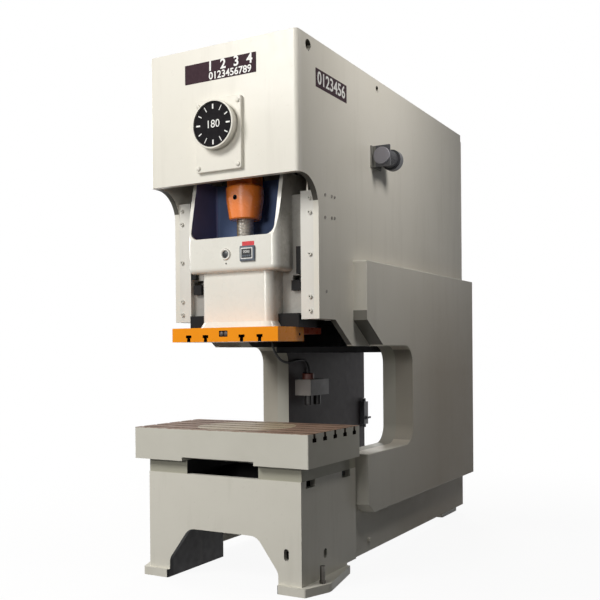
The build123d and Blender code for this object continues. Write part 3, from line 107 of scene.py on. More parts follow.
class Shader:
    """A material with one Principled shader, and short ways to add what feeds it."""

    def __init__(self, name, roughness=0.5, metallic=0.0, coat=0.0, specular=0.5):
        self.material = bpy.data.materials.new(name)
        self.material.use_nodes = True
        self.tree = self.material.node_tree
        self.shader = self.tree.nodes["Principled BSDF"]
        self.shader.inputs["Roughness"].default_value = roughness
        self.shader.inputs["Metallic"].default_value = metallic
        self.shader.inputs["Coat Weight"].default_value = coat
        self.shader.inputs["Coat Roughness"].default_value = 0.12
        self.shader.inputs["Specular IOR Level"].default_value = specular
        self.place = self.add("ShaderNodeTexCoord").outputs["Object"]

    def add(self, kind, **values):
        node = self.tree.nodes.new(kind)
        for name, value in values.items():
            setattr(node, name, value)
        return node

    def link(self, source, target):
        self.tree.links.new(source, target)

    def axis(self, name):
        """A coordinate of the shaded point."""
        node = self.add("ShaderNodeSeparateXYZ")
        self.link(self.place, node.inputs["Vector"])
        return node.outputs[name]

    def normal_axis(self, name):
        """A coordinate of the surface's normal."""
        geometry = self.add("ShaderNodeNewGeometry")
        node = self.add("ShaderNodeSeparateXYZ")
        self.link(geometry.outputs["Normal"], node.inputs["Vector"])
        return node.outputs[name]

    def stretched(self, scale):
        """Coordinates scaled by a vector."""
        mapping = self.add("ShaderNodeMapping")
        mapping.inputs["Scale"].default_value = scale
        self.link(self.place, mapping.inputs["Vector"])
        return mapping.outputs["Vector"]

    def noise(self, scale, detail=4.0, rough=0.55, vector=None):
        node = self.add("ShaderNodeTexNoise")
        node.inputs["Scale"].default_value = scale
        node.inputs["Detail"].default_value = detail
        node.inputs["Roughness"].default_value = rough
        self.link(self.place if vector is None else vector, node.inputs["Vector"])
        return node.outputs["Fac"]

    def ramp(self, value, low, high, out_low=0.0, out_high=1.0):
        node = self.add("ShaderNodeMapRange")
        node.inputs["From Min"].default_value = low
        node.inputs["From Max"].default_value = high
        node.inputs["To Min"].default_value = out_low
        node.inputs["To Max"].default_value = out_high
        self.link(value, node.inputs["Value"])
        return node.outputs["Result"]

    def maths(self, operation, first, second=0.0):
        """Each side is a number or another node's output."""
        node = self.add("ShaderNodeMath", operation=operation)
        for value, socket in ((first, node.inputs[0]), (second, node.inputs[1])):
            if isinstance(value, (int, float)):
                socket.default_value = value
            else:
                self.link(value, socket)
        return node.outputs["Value"]

    def size(self, value):
        return self.maths("ABSOLUTE", value)

    def above(self, value, level):
        """Mask: one where the value is over the level."""
        return self.maths("GREATER_THAN", value, level)

    def below(self, value, level):
        """Mask: one where the value is under the level."""
        return self.maths("LESS_THAN", value, level)

    def near(self, value, middle, reach):
        """Mask: one where the value lies within a reach of a middle."""
        return self.below(self.size(self.maths("SUBTRACT", value, middle)), reach)

    def both(self, *masks):
        """Product of the masks, numbers among them too."""
        found = masks[0]
        for mask in masks[1:]:
            found = self.maths("MULTIPLY", found, mask)
        return found

    def either(self, *masks):
        """Largest of the masks."""
        found = masks[0]
        for mask in masks[1:]:
            found = self.maths("MAXIMUM", found, mask)
        return found

    def blend(self, factor, first, second):
        """Colour mix; each side is a colour or another node's output."""
        node = self.add("ShaderNodeMix", data_type="RGBA")
        self.link(factor, node.inputs[0])
        colour_sockets = node.inputs[6:8]
        for value, socket in zip((first, second), colour_sockets):
            if isinstance(value, tuple):
                socket.default_value = (*value, 1.0)
            else:
                self.link(value, socket)
        return node.outputs[2]

    def clouds(self, scale=1.7, detail=5.0):
        """Mask: wide soft patches."""
        return self.ramp(self.noise(scale, detail), 0.35, 0.70)

    def grime(self, share):
        """Mask: dirt in streaks that run down and in specks, up to a share."""
        streaks = self.ramp(self.noise(9.0, 6.0, 0.6, self.stretched((1.0, 1.0, 0.12))), 0.52, 0.80)
        specks = self.ramp(self.noise(38.0, 6.0, 0.65), 0.62, 0.78)
        return self.both(self.either(streaks, specks), share)

    def colour(self, source):
        self.link(source, self.shader.inputs["Base Color"])

    def wander(self, low, high, scale=22.0, detail=5.0):
        """A value that wanders between about these two levels."""
        return self.ramp(self.noise(scale, detail), 0.2, 0.8, low, high)

    def rough(self, source):
        self.link(source, self.shader.inputs["Roughness"])

    def bumps(self, *layers):
        """Each layer is a height, its strength and its distance in metres."""
        normal = None
        for height, strength, distance in layers:
            bump = self.add("ShaderNodeBump")
            bump.inputs["Strength"].default_value = strength
            bump.inputs["Distance"].default_value = distance
            self.link(height, bump.inputs["Height"])
            if normal is not None:
                self.link(normal, bump.inputs["Normal"])
            normal = bump.outputs["Normal"]
        self.link(normal, self.shader.inputs["Normal"])

    def orange_peel(self, waves=True):
        """The fine skin of sprayed paint, over wide shallow waves on large plates."""
        layers = [(self.noise(260.0, 3.0), 0.25, 0.0004)]
        if waves:
            layers.append((self.noise(6.0, 3.0), 0.10, 0.004))
        self.bumps(*layers)

    def sand(self, scale=70.0, strength=0.35, distance=0.0012):
        """The grain of a casting."""
        self.bumps((self.noise(scale, 5.0, 0.6), strength, distance))


# Paints of the frame


def enamel(name, colour, shade, dirt=old_grime, rough=0.34, coat=0.1, dirt_share=0.5, specular=0.3):
    """Sprayed machine enamel: faint clouds of shade, grime in streaks and specks, orange peel."""
    s = Shader(name, roughness=rough, coat=coat, specular=specular)
    s.colour(s.blend(s.grime(dirt_share), s.blend(s.clouds(), colour, shade), dirt))
    s.rough(s.wander(rough - 0.07, rough + 0.14))
    s.orange_peel()
    return s.material


def side_material():
    """Ivory plates with painted shade: darker and browner low at the rear, and dark on the faces in the
    throat and under the head.
    """
    s = Shader("side_finish", roughness=0.34, specular=0.05)
    paint = s.blend(s.clouds(), ivory_paint, ivory_shade)
    paint = s.blend(s.grime(0.15), paint, old_grime)
    length = side_high.y - side_low.y
    rear = s.ramp(s.axis("Y"), side_low.y + 0.30 * length, side_low.y + 0.70 * length)
    # painted shade: the mask named dust darkens and browns the plates towards the lower rear
    dust = s.both(rear, s.ramp(s.axis("Z"), rear_shade_low, rear_shade_high, 0.75, 0.0))
    paint = s.blend(dust, paint, (0.34, 0.28, 0.20))
    # painted shade: faces in the throat darken towards the bottom, and faces that look down under the head
    # go dark
    throat = s.both(s.below(s.normal_axis("Y"), -0.6), s.below(s.axis("Z"), throat_top))
    throat = s.both(throat, s.above(s.axis("Y"), throat_front))
    throat = s.both(throat, s.ramp(s.axis("Z"), shade_low, shade_high, 0.32, 0.68))
    under = s.both(s.below(s.normal_axis("Z"), -0.25), s.above(s.axis("Z"), overhang_z), 0.92)
    s.colour(s.blend(s.either(throat, under), paint, (0.050, 0.048, 0.040)))
    s.rough(s.wander(0.28, 0.48))
    s.orange_peel()
    return s.material


def inner_box_material():
    """Ivory darkened by painted shade on the narrow faces that show in the throat; the wide ones are dark,
    black above the ceiling.
    """
    s = Shader("inner_box_finish", roughness=0.42, specular=0.1)
    clouds = s.clouds()
    # painted shade: the narrow faces' ivory is about half as bright as the frame's
    paint = s.blend(clouds, (0.44, 0.43, 0.385), (0.40, 0.39, 0.345))
    black = s.blend(clouds, (0.007, 0.007, 0.008), (0.012, 0.012, 0.013))
    grey = s.blend(clouds, (0.095, 0.086, 0.092), (0.125, 0.112, 0.118))
    dark = s.blend(s.below(s.axis("Z"), ceiling_z), black, grey)
    wide = s.above(s.size(s.normal_axis("X")), 0.7)
    s.colour(s.blend(wide, paint, dark))
    s.rough(s.wander(0.36, 0.55))
    s.orange_peel(waves=False)
    return s.material


def bed_material(name, colour, shade):
    """Ivory outside, and painted shade: dark on the faces that look inward, down or behind the front plate.
    """
    s = Shader(name, roughness=0.36, specular=0.12)
    paint = s.blend(s.grime(0.22), s.blend(s.clouds(), colour, shade), (0.33, 0.31, 0.25))
    # painted shade on the faces that look inward, down or behind
    inward = s.below(s.both(s.axis("X"), s.normal_axis("X")), -0.12)
    behind = s.above(s.normal_axis("Y"), 0.7)
    down = s.below(s.normal_axis("Z"), -0.5)
    s.colour(s.blend(s.either(down, inward, behind), paint, (0.018, 0.018, 0.020)))
    s.rough(s.wander(0.30, 0.50))
    s.orange_peel()
    return s.material


def slot_walls(s):
    """Mask: the inside of the bolster's T-slots, where painted shade goes."""
    row = s.maths("DIVIDE", s.maths("SUBTRACT", s.axis("Y"), bolster_middle - 2 * slot_pitch), slot_pitch)
    beside = s.near(row, s.maths("ROUND", row), slot_half / slot_pitch)
    under = s.below(s.axis("Z"), bolster_high.z - 0.0008)
    over = s.above(s.axis("Z"), bolster_high.z - slot_depth)
    across = s.below(s.size(s.normal_axis("X")), 0.5)
    return s.both(beside, under, over, across)


def grinding(s):
    """Fine marks along X, as a surface grinder leaves them."""
    return s.noise(70.0, 4.0, 0.5, s.stretched((0.06, 1.0, 1.0)))


def bolster_material():
    """Ivory paint on the sides, and a ground top browned by oil with worn paler patches; painted shade
    darkens the T-slots and the faces that look down.
    """
    s = Shader("bolster_finish", roughness=0.4, specular=0.06)
    paint = s.blend(s.clouds(2.2), (0.66, 0.645, 0.58), (0.60, 0.585, 0.52))
    grind = grinding(s)
    stains = s.ramp(s.noise(3.1, 8.0, 0.62), 0.38, 0.66)
    rust = s.blend(stains, (0.29, 0.195, 0.145), (0.165, 0.100, 0.072))
    rust = s.blend(s.ramp(grind, 0.45, 0.75, 0.0, 0.5), rust, (0.37, 0.275, 0.21))
    ragged = s.ramp(s.noise(30.0, 6.0), 0.3, 0.7, -bare_rim, bare_rim)
    rim = s.above(s.maths("ADD", s.axis("Z"), ragged), bolster_high.z - bare_rim)
    bare = s.either(s.above(s.normal_axis("Z"), 0.7), rim)
    # painted shade in the T-slots and on the faces that look down
    dark = s.either(slot_walls(s), s.below(s.normal_axis("Z"), -0.7))
    s.colour(s.blend(dark, s.blend(bare, paint, rust), painted_shade_dark))
    s.rough(s.wander(0.34, 0.58, 25.0))
    s.bumps((grind, 0.25, 0.0006), (s.noise(260.0, 3.0), 0.15, 0.0004))
    return s.material


def centre_plate_material():
    """The bolster's centre plate: ground, paler and drier than the rest; painted shade darkens its T-slots.
    """
    s = Shader("centre_plate_finish", roughness=0.45, specular=0.2)
    stains = s.ramp(s.noise(4.0, 8.0, 0.62), 0.36, 0.68)
    stained = s.blend(stains, (0.46, 0.38, 0.26), (0.34, 0.26, 0.17))
    grind = grinding(s)
    ground = s.blend(s.ramp(grind, 0.4, 0.8, 0.0, 0.5), stained, (0.56, 0.49, 0.37))
    s.colour(s.blend(slot_walls(s), ground, painted_shade_dark))
    s.rough(s.wander(0.30, 0.5, 25.0))
    s.bumps((grind, 0.25, 0.0006))
    return s.material


def gib_bolt_material():
    """Screws painted over with the gibs; their sockets are darkened by painted shade."""
    s = Shader("gib_bolt_finish", roughness=0.4)
    paint = s.blend(s.clouds(9.0), (0.66, 0.645, 0.59), (0.60, 0.585, 0.53))
    # painted shade inside the sockets
    socket = s.above(s.axis("Y"), socket_floor)
    s.colour(s.blend(socket, paint, (0.03, 0.028, 0.026)))
    s.rough(s.wander(0.36, 0.55))
    s.orange_peel(waves=False)
    return s.material


def pump_material():
    """Dark ribbed pump; its foot plate is a little paler."""
    s = Shader("pump_finish", roughness=0.42)
    body = s.blend(s.clouds(9.0, 6.0), (0.055, 0.057, 0.065), (0.085, 0.085, 0.095))
    foot = s.below(s.axis("X"), pump_foot)
    s.colour(s.blend(foot, body, (0.20, 0.195, 0.18)))
    s.rough(s.wander(0.32, 0.54, 30.0, 4.0))
    s.sand()
    return s.material


def air_unit_material():
    """Air unit: front faces paler than the sides by painted light and shade, brick-red regulator head, dark
    bowls.
    """
    s = Shader("air_unit_finish", roughness=0.4)
    body = s.blend(s.clouds(9.0, 6.0), (0.16, 0.15, 0.148), (0.20, 0.19, 0.185))
    # painted light and shade: faces that look forward paler, the others darker
    front = s.below(s.normal_axis("Y"), -0.7)
    body = s.blend(front, body, (0.40, 0.37, 0.35))
    regulator = s.above(s.axis("Z"), unit_top + skin)
    body = s.blend(regulator, body, (0.20, 0.06, 0.045))
    bowls = s.below(s.axis("Z"), unit_top - unit_body)
    s.colour(s.blend(bowls, body, (0.030, 0.027, 0.027)))
    s.rough(s.wander(0.28, 0.5, 30.0, 4.0))
    s.sand(120.0, 0.3, 0.0008)
    return s.material


# Paints of the ram and the rod


def slide_material():
    """White enamel outside, with painted shade: grey on the side faces and on the wings' front faces;
    blue-grey inside the well, its back wall a deeper blue by painted shade.
    """
    s = Shader("slide_finish", specular=0.3)
    clouds = s.clouds(2.4)
    outside = s.blend(clouds, (0.84, 0.825, 0.765), (0.80, 0.785, 0.72))
    inside = s.blend(clouds, (0.160, 0.165, 0.320), (0.130, 0.135, 0.270))
    x = s.size(s.axis("X"))
    y = s.axis("Y")
    margin = 0.001
    well = s.both(s.below(x, well_half + margin), s.above(s.axis("Z"), well_floor - margin))
    well = s.both(well, s.above(y, well_front - margin), s.below(y, well_back + margin))
    # painted shade: the well's back wall, which faces forward, gets a deeper blue than its side walls
    forward = s.below(s.normal_axis("Y"), -0.7)
    inside = s.blend(forward, inside, (0.090, 0.135, 0.265))
    # painted shade: grey on the side faces and on the wings' front faces
    flank_shade = s.ramp(s.size(s.normal_axis("X")), 0.35, 0.90, 0.0, 0.70)
    wings = s.both(s.above(x, block_half), s.above(y, wing_front), forward, 0.92)
    outside = s.blend(s.either(flank_shade, wings), outside, (0.30, 0.29, 0.27))
    s.colour(s.blend(well, outside, inside))
    s.rough(s.maths("ADD", s.wander(0.24, 0.32), s.both(well, 0.35)))
    s.link(s.both(s.maths("SUBTRACT", 1.0, well), 0.40), s.shader.inputs["Coat Weight"])
    s.bumps((s.noise(260.0, 3.0), 0.12, 0.0003), (s.noise(2.0, 2.0), 0.05, 0.004))
    return s.material


def slide_plate_material():
    """Orange enamel with its rear tail darkened to red-brown by painted shade; painted shade also darkens
    the slots, the side holes and the clamp's recess.
    """
    s = Shader("slide_plate_finish", roughness=0.26, specular=0.12)
    x = s.size(s.axis("X"))
    y = s.axis("Y")
    z = s.axis("Z")
    paint = s.blend(s.clouds(2.6), (1.0, 0.345, 0.013), (0.95, 0.31, 0.011))
    specks = s.both(s.ramp(s.noise(38.0, 6.0, 0.65), 0.60, 0.78), 0.25)
    paint = s.blend(specks, paint, (0.30, 0.12, 0.03))
    # painted shade: the plate's rear tail in red-brown
    paint = s.blend(s.above(y, tail_y), paint, (0.42, 0.070, 0.035))
    # painted shade inside the slots, the side holes and the clamp's recess
    slots = s.either(*[s.near(x, middle, ram_slot_half) for middle in ram_slots])
    slots = s.both(slots, s.below(z, orange_low.z + ram_slot_height))
    slots = s.both(slots, s.below(s.size(s.normal_axis("Y")), 0.5))
    hole = s.both(s.near(y, side_hole[0], side_hole_half), s.near(z, side_hole[1], side_hole_half))
    hole = s.both(hole, s.below(x, orange_high.x - skin), s.above(x, side_hole_end))
    recess = s.both(s.near(z, clamp_z, clamp_half_height), s.below(x, clamp_half_width))
    recess = s.both(recess, s.above(y, orange_low.y + skin), s.below(y, orange_low.y + clamp_depth))
    s.colour(s.blend(s.either(slots, hole, recess), paint, (0.020, 0.012, 0.010)))
    s.rough(s.wander(0.20, 0.40))
    s.orange_peel()
    return s.material


def rod_material():
    """Orange-red enamel with grime in streaks; painted shade darkens the oil hole and a thin rim round it.
    """
    s = Shader("rod_enamel", roughness=0.22, coat=0.6)
    paint = s.blend(s.clouds(), (0.98, 0.255, 0.035), (0.88, 0.215, 0.028))
    paint = s.blend(s.grime(0.3), paint, (0.25, 0.09, 0.03))
    # painted shade: a dark disc over the oil hole
    x = s.axis("X")
    z = s.maths("SUBTRACT", s.axis("Z"), oil_hole_z)
    distance = s.maths("SQRT", s.maths("ADD", s.both(x, x), s.both(z, z)))
    s.colour(s.blend(s.below(distance, oil_hole_radius), paint, (0.006, 0.005, 0.005)))
    s.rough(s.wander(0.15, 0.36))
    s.orange_peel()
    return s.material


def threaded_steel():
    """The adjusting screw: turned steel whose thread is a raised wave along its axis, with painted shade in
    its grooves, painted highlight on its crests and an ochre painted reflection on the side that faces -X.
    """
    s = Shader("screw_finish", roughness=0.30, metallic=0.5)
    wave = s.add("ShaderNodeTexWave", wave_type="BANDS", bands_direction="Z")
    wave.inputs["Scale"].default_value = 38.0
    s.link(s.place, wave.inputs["Vector"])
    # painted shade in the thread's grooves and painted highlight on its crests
    thread = s.blend(wave.outputs["Fac"], (0.42, 0.38, 0.31), (1.0, 0.97, 0.90))
    # painted reflection: ochre on the faces that look towards -X
    painted_reflection = s.ramp(s.normal_axis("X"), -0.75, -0.20, 1.0, 0.0)
    s.colour(s.blend(painted_reflection, thread, (0.52, 0.33, 0.10)))
    s.bumps((wave.outputs["Fac"], 0.9, 0.004))
    return s.material


# Bare metal, castings, rubber and plastic


def steel(name, colour=(0.56, 0.54, 0.50), rough=0.32, tint=(0.30, 0.25, 0.20), turned=(1.0, 1.0, 40.0)):
    """Turned or ground steel with an oil film that has browned in patches."""
    s = Shader(name, metallic=1.0)
    marks = s.noise(12.0, 3.0, 0.5, s.stretched(turned))
    patches = s.ramp(s.noise(14.0, 6.0), 0.45, 0.75)
    s.colour(s.blend(patches, colour, tint))
    s.rough(s.ramp(marks, 0.25, 0.75, rough - 0.08, rough + 0.16))
    s.bumps((marks, 0.25, 0.0004))
    return s.material


def cast(name, colour, shade, rough, specular=0.5):
    """Painted or bare casting with a fine sand texture."""
    s = Shader(name, specular=specular)
    s.colour(s.blend(s.clouds(9.0, 6.0), colour, shade))
    s.rough(s.wander(rough - 0.1, rough + 0.12, 30.0, 4.0))
    s.sand()
    return s.material


def rubber(name):
    """Black rubber with fine dust."""
    s = Shader(name, roughness=0.6)
    dust = s.ramp(s.noise(60.0, 6.0), 0.5, 0.75)
    s.colour(s.blend(dust, (0.022, 0.022, 0.023), (0.060, 0.056, 0.052)))
    s.bumps((s.noise(240.0, 4.0), 0.3, 0.0004))
    return s.material


def plastic(name, colour, rough, coat=0.0, specular=0.5):
    """Moulded plastic with a fine spark texture and slight wear."""
    s = Shader(name, coat=coat, specular=specular)
    worn = tuple(min(1.0, part * 1.25 + 0.004) for part in colour)
    s.colour(s.blend(s.ramp(s.noise(50.0, 6.0), 0.45, 0.75), colour, worn))
    s.rough(s.wander(rough - 0.08, rough + 0.1, 40.0, 4.0))
    s.bumps((s.noise(600.0, 2.0), 0.2, 0.0002))
    return s.material


ivory = enamel("ivory_enamel", ivory_paint, ivory_shade, dirt_share=0.18)
gib_paint = enamel("gib_enamel", (0.74, 0.725, 0.68), (0.70, 0.685, 0.635), dirt_share=0.15)
black_paint = enamel("inner_enamel", (0.024, 0.023, 0.025), (0.036, 0.034, 0.036), (0.07, 0.06, 0.05),
                     rough=0.5, coat=0.0)
deep_black = enamel("shadow_enamel", (0.006, 0.006, 0.007), (0.010, 0.010, 0.011), (0.024, 0.020, 0.016),
                    rough=0.5, coat=0.0, dirt_share=0.3, specular=0.15)
grey_paint = cast("valve_enamel", (0.055, 0.057, 0.065), (0.085, 0.085, 0.095), 0.42)
motor_paint = cast("motor_enamel", (0.16, 0.19, 0.20), (0.12, 0.145, 0.155), 0.45)
pale_paint = cast("pale_enamel", (0.30, 0.29, 0.33), (0.25, 0.245, 0.28), 0.4)
black_iron = cast("black_iron", (0.008, 0.008, 0.009), (0.014, 0.013, 0.013), 0.5, 0.15)
clamp_brown = cast("clamp_brown", (0.060, 0.045, 0.038), (0.040, 0.030, 0.026), 0.4)
screw_grey = cast("screw_grey", (0.33, 0.31, 0.28), (0.26, 0.245, 0.22), 0.45)
bright_steel = steel("bright_steel")
dark_steel = steel("dark_steel", (0.10, 0.095, 0.085), 0.42, (0.05, 0.045, 0.04))
gear_iron = steel("gear_iron", (0.30, 0.28, 0.25), 0.38, (0.12, 0.10, 0.07), (30.0, 1.0, 30.0))
bronze = steel("bronze", (0.60, 0.40, 0.17), 0.34, (0.32, 0.20, 0.09))
black_rubber = rubber("black_rubber")
black_plastic = plastic("black_plastic", (0.012, 0.012, 0.014), 0.35)
face_black = plastic("dial_black", (0.0040, 0.0030, 0.0042), 0.6, specular=0.08)
mark_white = plastic("mark_white", (0.80, 0.80, 0.78), 0.45)
# painted reflection: glossy white stands for the bright steel of the dial's ring
ring_reflection_white = plastic("ring_reflection_white", (0.90, 0.90, 0.88), 0.25, coat=0.5)
red_plastic = plastic("red_plastic", (0.62, 0.035, 0.045), 0.40)
plaque_brown = plastic("plaque_brown", (0.036, 0.017, 0.024), 0.6, specular=0.1)
counter_grey = plastic("counter_grey", (0.085, 0.105, 0.135), 0.40)
bed_paint = bed_material("bed_finish", (0.735, 0.715, 0.645), (0.69, 0.67, 0.60))
# painted shade: the rails under the bolster's overhang get a darker ivory
rail_shade_paint = bed_material("rail_shade_finish", (0.44, 0.43, 0.36), (0.38, 0.37, 0.30))

finishes = {
    side_material(): ["side_plate_left", "side_plate_right", "side_box_left", "side_box_right"],
    ivory: ["head_front_plate", "head_top_plate", "rear_guard", "dial_plate", "dial_housing"],
    bed_paint: ["bed_front_plate", "bed_side_left", "bed_side_right", "feet"],
    rail_shade_paint: ["bolster_rails"],
    inner_box_material(): ["inner_box_left", "inner_box_right"],
    black_paint: ["rear_bearing_wall", "mid_bearing_wall", "flywheel_wall", "leg_liners", "bed_webs"],
    deep_black: ["front_bearing_wall", "throat_ceiling_plate", "wing_shoes", "rear_tie_plate"],
    slide_material(): ["slide"],
    slide_plate_material(): ["slide_plate"],
    rod_material(): ["connecting_rod", "rod_cap"],
    threaded_steel(): ["adjusting_screw"],
    bright_steel: [
        "crankshaft", "crank_pin", "pinion_shaft", "motor_pulley", "balance_rods", "ball_retainer"],
    dark_steel: ["frame_bolts"],
    black_iron: ["knockout_bar", "knockout_stops"],
    gib_bolt_material(): ["gib_bolts"],
    gear_iron: ["crank_gear", "flywheel", "clutch_brake"],
    gib_paint: ["front_gibs", "guide_rails"],
    bronze: ["bearing_bushes", "ball_seat"],
    bolster_material(): ["bolster"],
    centre_plate_material(): ["bolster_centre_plate"],
    face_black: ["dial_disc"],
    counter_grey: ["counter"],
    pump_material(): ["lube_pump"],
    air_unit_material(): ["air_unit"],
    grey_paint: ["rear_valve", "valve_lever"],
    motor_paint: ["main_motor", "balance_cylinders"],
    pale_paint: ["lube_pump_flange"],
    black_rubber: ["drive_belts", "air_hose"],
}
for material, names in finishes.items():
    for name in names:
        mesh = nodes[name].data
        mesh.materials.clear()
        mesh.materials.append(material)


# Small pieces

FRONT = (0, -1, 0)
RIGHT = (1, 0, 0)


def finish_piece(bm, name, material, body, smooth=True):
    """Turn a bmesh into a piece that rides on a body."""
    mesh = bpy.data.meshes.new(name)
    bmesh.ops.recalc_face_normals(bm, faces=bm.faces)
    bm.to_mesh(mesh)
    bm.free()
    mesh.materials.append(material)
    piece = bpy.data.objects.new(name, mesh)
    bpy.context.scene.collection.objects.link(piece)
    if smooth:
        for polygon in mesh.polygons:
            polygon.use_smooth = True
        mesh.set_sharp_from_angle(angle=math.radians(35))
    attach(piece, body)


def facing(place, normal, up=(0, 0, 1)):
    """Matrix whose Z looks along normal and whose Y looks up."""
    z = Vector(normal).normalized()
    x = Vector(up).cross(z).normalized()
    y = z.cross(x)
    turn = Matrix((x, y, z)).transposed().to_4x4()
    return Matrix.Translation(place) @ turn


def lathe(bm, profile, matrix, steps):
    """Turned solid: profile is a list of (radius, height) along the matrix's Z."""
    rings = []
    for radius, height in profile:
        if radius == 0:
            rings.append([bm.verts.new(matrix @ Vector((0, 0, height)))])
            continue
        ring = []
        for step in range(steps):
            angle = 2 * math.pi * step / steps
            point = Vector((radius * math.cos(angle), radius * math.sin(angle), height))
            ring.append(bm.verts.new(matrix @ point))
        rings.append(ring)
    for lower, upper in zip(rings, rings[1:]):
        for step in range(steps):
            after = (step + 1) % steps
            if len(lower) == 1:
                bm.faces.new((lower[0], upper[after], upper[step]))
            elif len(upper) == 1:
                bm.faces.new((lower[step], lower[after], upper[0]))
            else:
                bm.faces.new((lower[step], lower[after], upper[after], upper[step]))


def rounded_outline(width, height, radius, steps=6):
    """Points of a rounded rectangle round the origin."""
    points = []
    for turn, (sx, sy) in enumerate(((1, 1), (-1, 1), (-1, -1), (1, -1))):
        cx = sx * (width / 2 - radius)
        cy = sy * (height / 2 - radius)
        for step in range(steps + 1):
            angle = math.pi / 2 * (turn + step / steps)
            points.append((cx + radius * math.cos(angle), cy + radius * math.sin(angle)))
    return points


def plate(bm, width, height, radius, thick, bevel, matrix):
    """Thin plate with rounded corners and a bevelled front rim, its back on the matrix's plane."""
    least_radius = 0.0003
    loops = []
    turned = bevel * 0.3
    for inset, level in ((0.0, 0.0), (0.0, thick - bevel), (turned, thick - turned), (bevel, thick)):
        corner = max(radius - inset, least_radius)
        outline = rounded_outline(width - 2 * inset, height - 2 * inset, corner)
        loops.append([bm.verts.new(matrix @ Vector((x, y, level))) for x, y in outline])
    for lower, upper in zip(loops, loops[1:]):
        for index in range(len(lower)):
            after = (index + 1) % len(lower)
            bm.faces.new((lower[index], lower[after], upper[after], upper[index]))
    bm.faces.new(loops[-1])
    bm.faces.new(list(reversed(loops[0])))


def plate_piece(name, sizes, place, normal, material, body):
    """A piece that is one plate: width, height, corner radius, thickness and bevel."""
    bm = bmesh.new()
    plate(bm, *sizes, facing(place, normal))
    finish_piece(bm, name, material, body, smooth=False)


def socket_screw(bm, place, normal, radius, height):
    """Cap screw head with a chamfered rim and a round socket."""
    chamfer = radius * 0.12
    rim = [(0, 0), (radius, 0), (radius, height - chamfer), (radius - chamfer, height)]
    socket = [(radius * 0.55, height), (radius * 0.5, height * 0.45), (0, height * 0.42)]
    lathe(bm, rim + socket, facing(place, normal), 24)


def dome_screw(bm, place, normal, radius, height):
    """Painted-over round head."""
    profile = [(0, 0), (radius, 0), (radius, height * 0.25)]
    for step in range(1, 5):
        angle = math.pi / 2 * step / 5
        profile.append((radius * math.cos(angle), height * (0.25 + 0.75 * math.sin(angle))))
    profile.append((0, height))
    lathe(bm, profile, facing(place, normal), 24)


def word(text, name, size, place, normal, body, depth=0.0004, bold=0.0):
    """Raised plain white digits."""
    curve = bpy.data.curves.new(name, "FONT")
    curve.body = text
    curve.size = size
    curve.extrude = depth
    curve.offset = bold
    curve.align_x = "CENTER"
    curve.align_y = "CENTER"
    curve.resolution_u = 4
    curve.materials.append(mark_white)
    piece = bpy.data.objects.new(name, curve)
    bpy.context.scene.collection.objects.link(piece)
    piece.matrix_world = facing(place, normal)
    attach(piece, body)


def dial_marks():
    """Twelve white ticks round the dial, and plain digits at its middle."""
    centre = Vector((0, disc_low.y, disc_middle))
    # A tick's length and width, and its inner end as a share of the disc's radius
    quarter_tick = (0.026, 0.0085, 0.68)
    even_tick = (0.022, 0.0058, 0.70)
    odd_tick = (0.030, 0.0042, 0.66)
    thick = 0.0012
    bevel = 0.0003
    bm = bmesh.new()
    for hour in range(12):
        if hour % 3 == 0:
            length, width, inner = quarter_tick
        elif hour % 2 == 0:
            length, width, inner = even_tick
        else:
            length, width, inner = odd_tick
        angle = math.pi / 6 * hour
        direction = Vector((math.sin(angle), 0, math.cos(angle)))
        middle = centre + direction * (disc_radius * inner + length / 2)
        plate(bm, width, length, width * 0.2, thick, bevel, facing(middle, FRONT, direction))
    finish_piece(bm, "dial_ticks", mark_white, "crank", smooth=False)
    word("180", "dial_digits", 0.060, centre, FRONT, "crank", depth=0.0008)


def dial_trim():
    """White ring round the dial's window, a painted reflection for a bright steel ring, and the four screws
    and the pin of the dial's plate.
    """
    tube = 0.0035
    ring_radius = disc_radius + 0.0045
    ring_level = -0.0036
    profile = []
    for step in range(13):
        angle = 2 * math.pi * step / 12
        profile.append((ring_radius + tube * math.cos(angle), tube * math.sin(angle) + ring_level))
    bm = bmesh.new()
    lathe(bm, profile, facing((0, housing_front, disc_middle), FRONT), 96)
    finish_piece(bm, "dial_ring", ring_reflection_white, "frame")
    from_side = 0.020
    from_foot = 0.024
    from_top = 0.030
    bm = bmesh.new()
    for x in (plate_low.x + from_side, plate_high.x - from_side):
        for z in (plate_low.z + from_foot, plate_high.z - from_top):
            dome_screw(bm, (x, plate_low.y, z), FRONT, 0.013, 0.010)
    pin = (plate_high.x - 0.010, plate_low.y, plate_high.z - 0.085)
    dome_screw(bm, pin, FRONT, 0.004, 0.002)
    finish_piece(bm, "dial_plate_screws", ivory, "frame")


def plaques():
    """Plates with plain numbers where the photo has name plates."""
    thick = 0.002
    head_sizes = (0.464, 0.107, 0.003, thick, 0.0006)
    plate_piece("head_plaque", head_sizes, (0, head_y, 2.8035), FRONT, plaque_brown, "frame")
    digit_pitch = 0.0845
    for column, digit in enumerate("1234"):
        place = (-0.062 + digit_pitch * column, head_y - thick, 2.8265)
        word(digit, f"head_digit_{digit}", 0.074, place, FRONT, "frame", bold=0.0018)
    place = (0.066, head_y - thick, 2.7735)
    word("0123456789", "head_digits", 0.055, place, FRONT, "frame", bold=0.0010)
    thick = 0.0008
    side_sizes = (0.383, 0.102, 0.003, thick, 0.0003)
    middle = Vector((side_x, head_y + 0.3955, 2.738))
    plate_piece("side_plaque", side_sizes, middle, RIGHT, plaque_brown, "frame")
    place = middle + Vector((thick, 0, 0))
    word("0123456", "side_digits", 0.098, place, RIGHT, "frame", bold=0.0016)


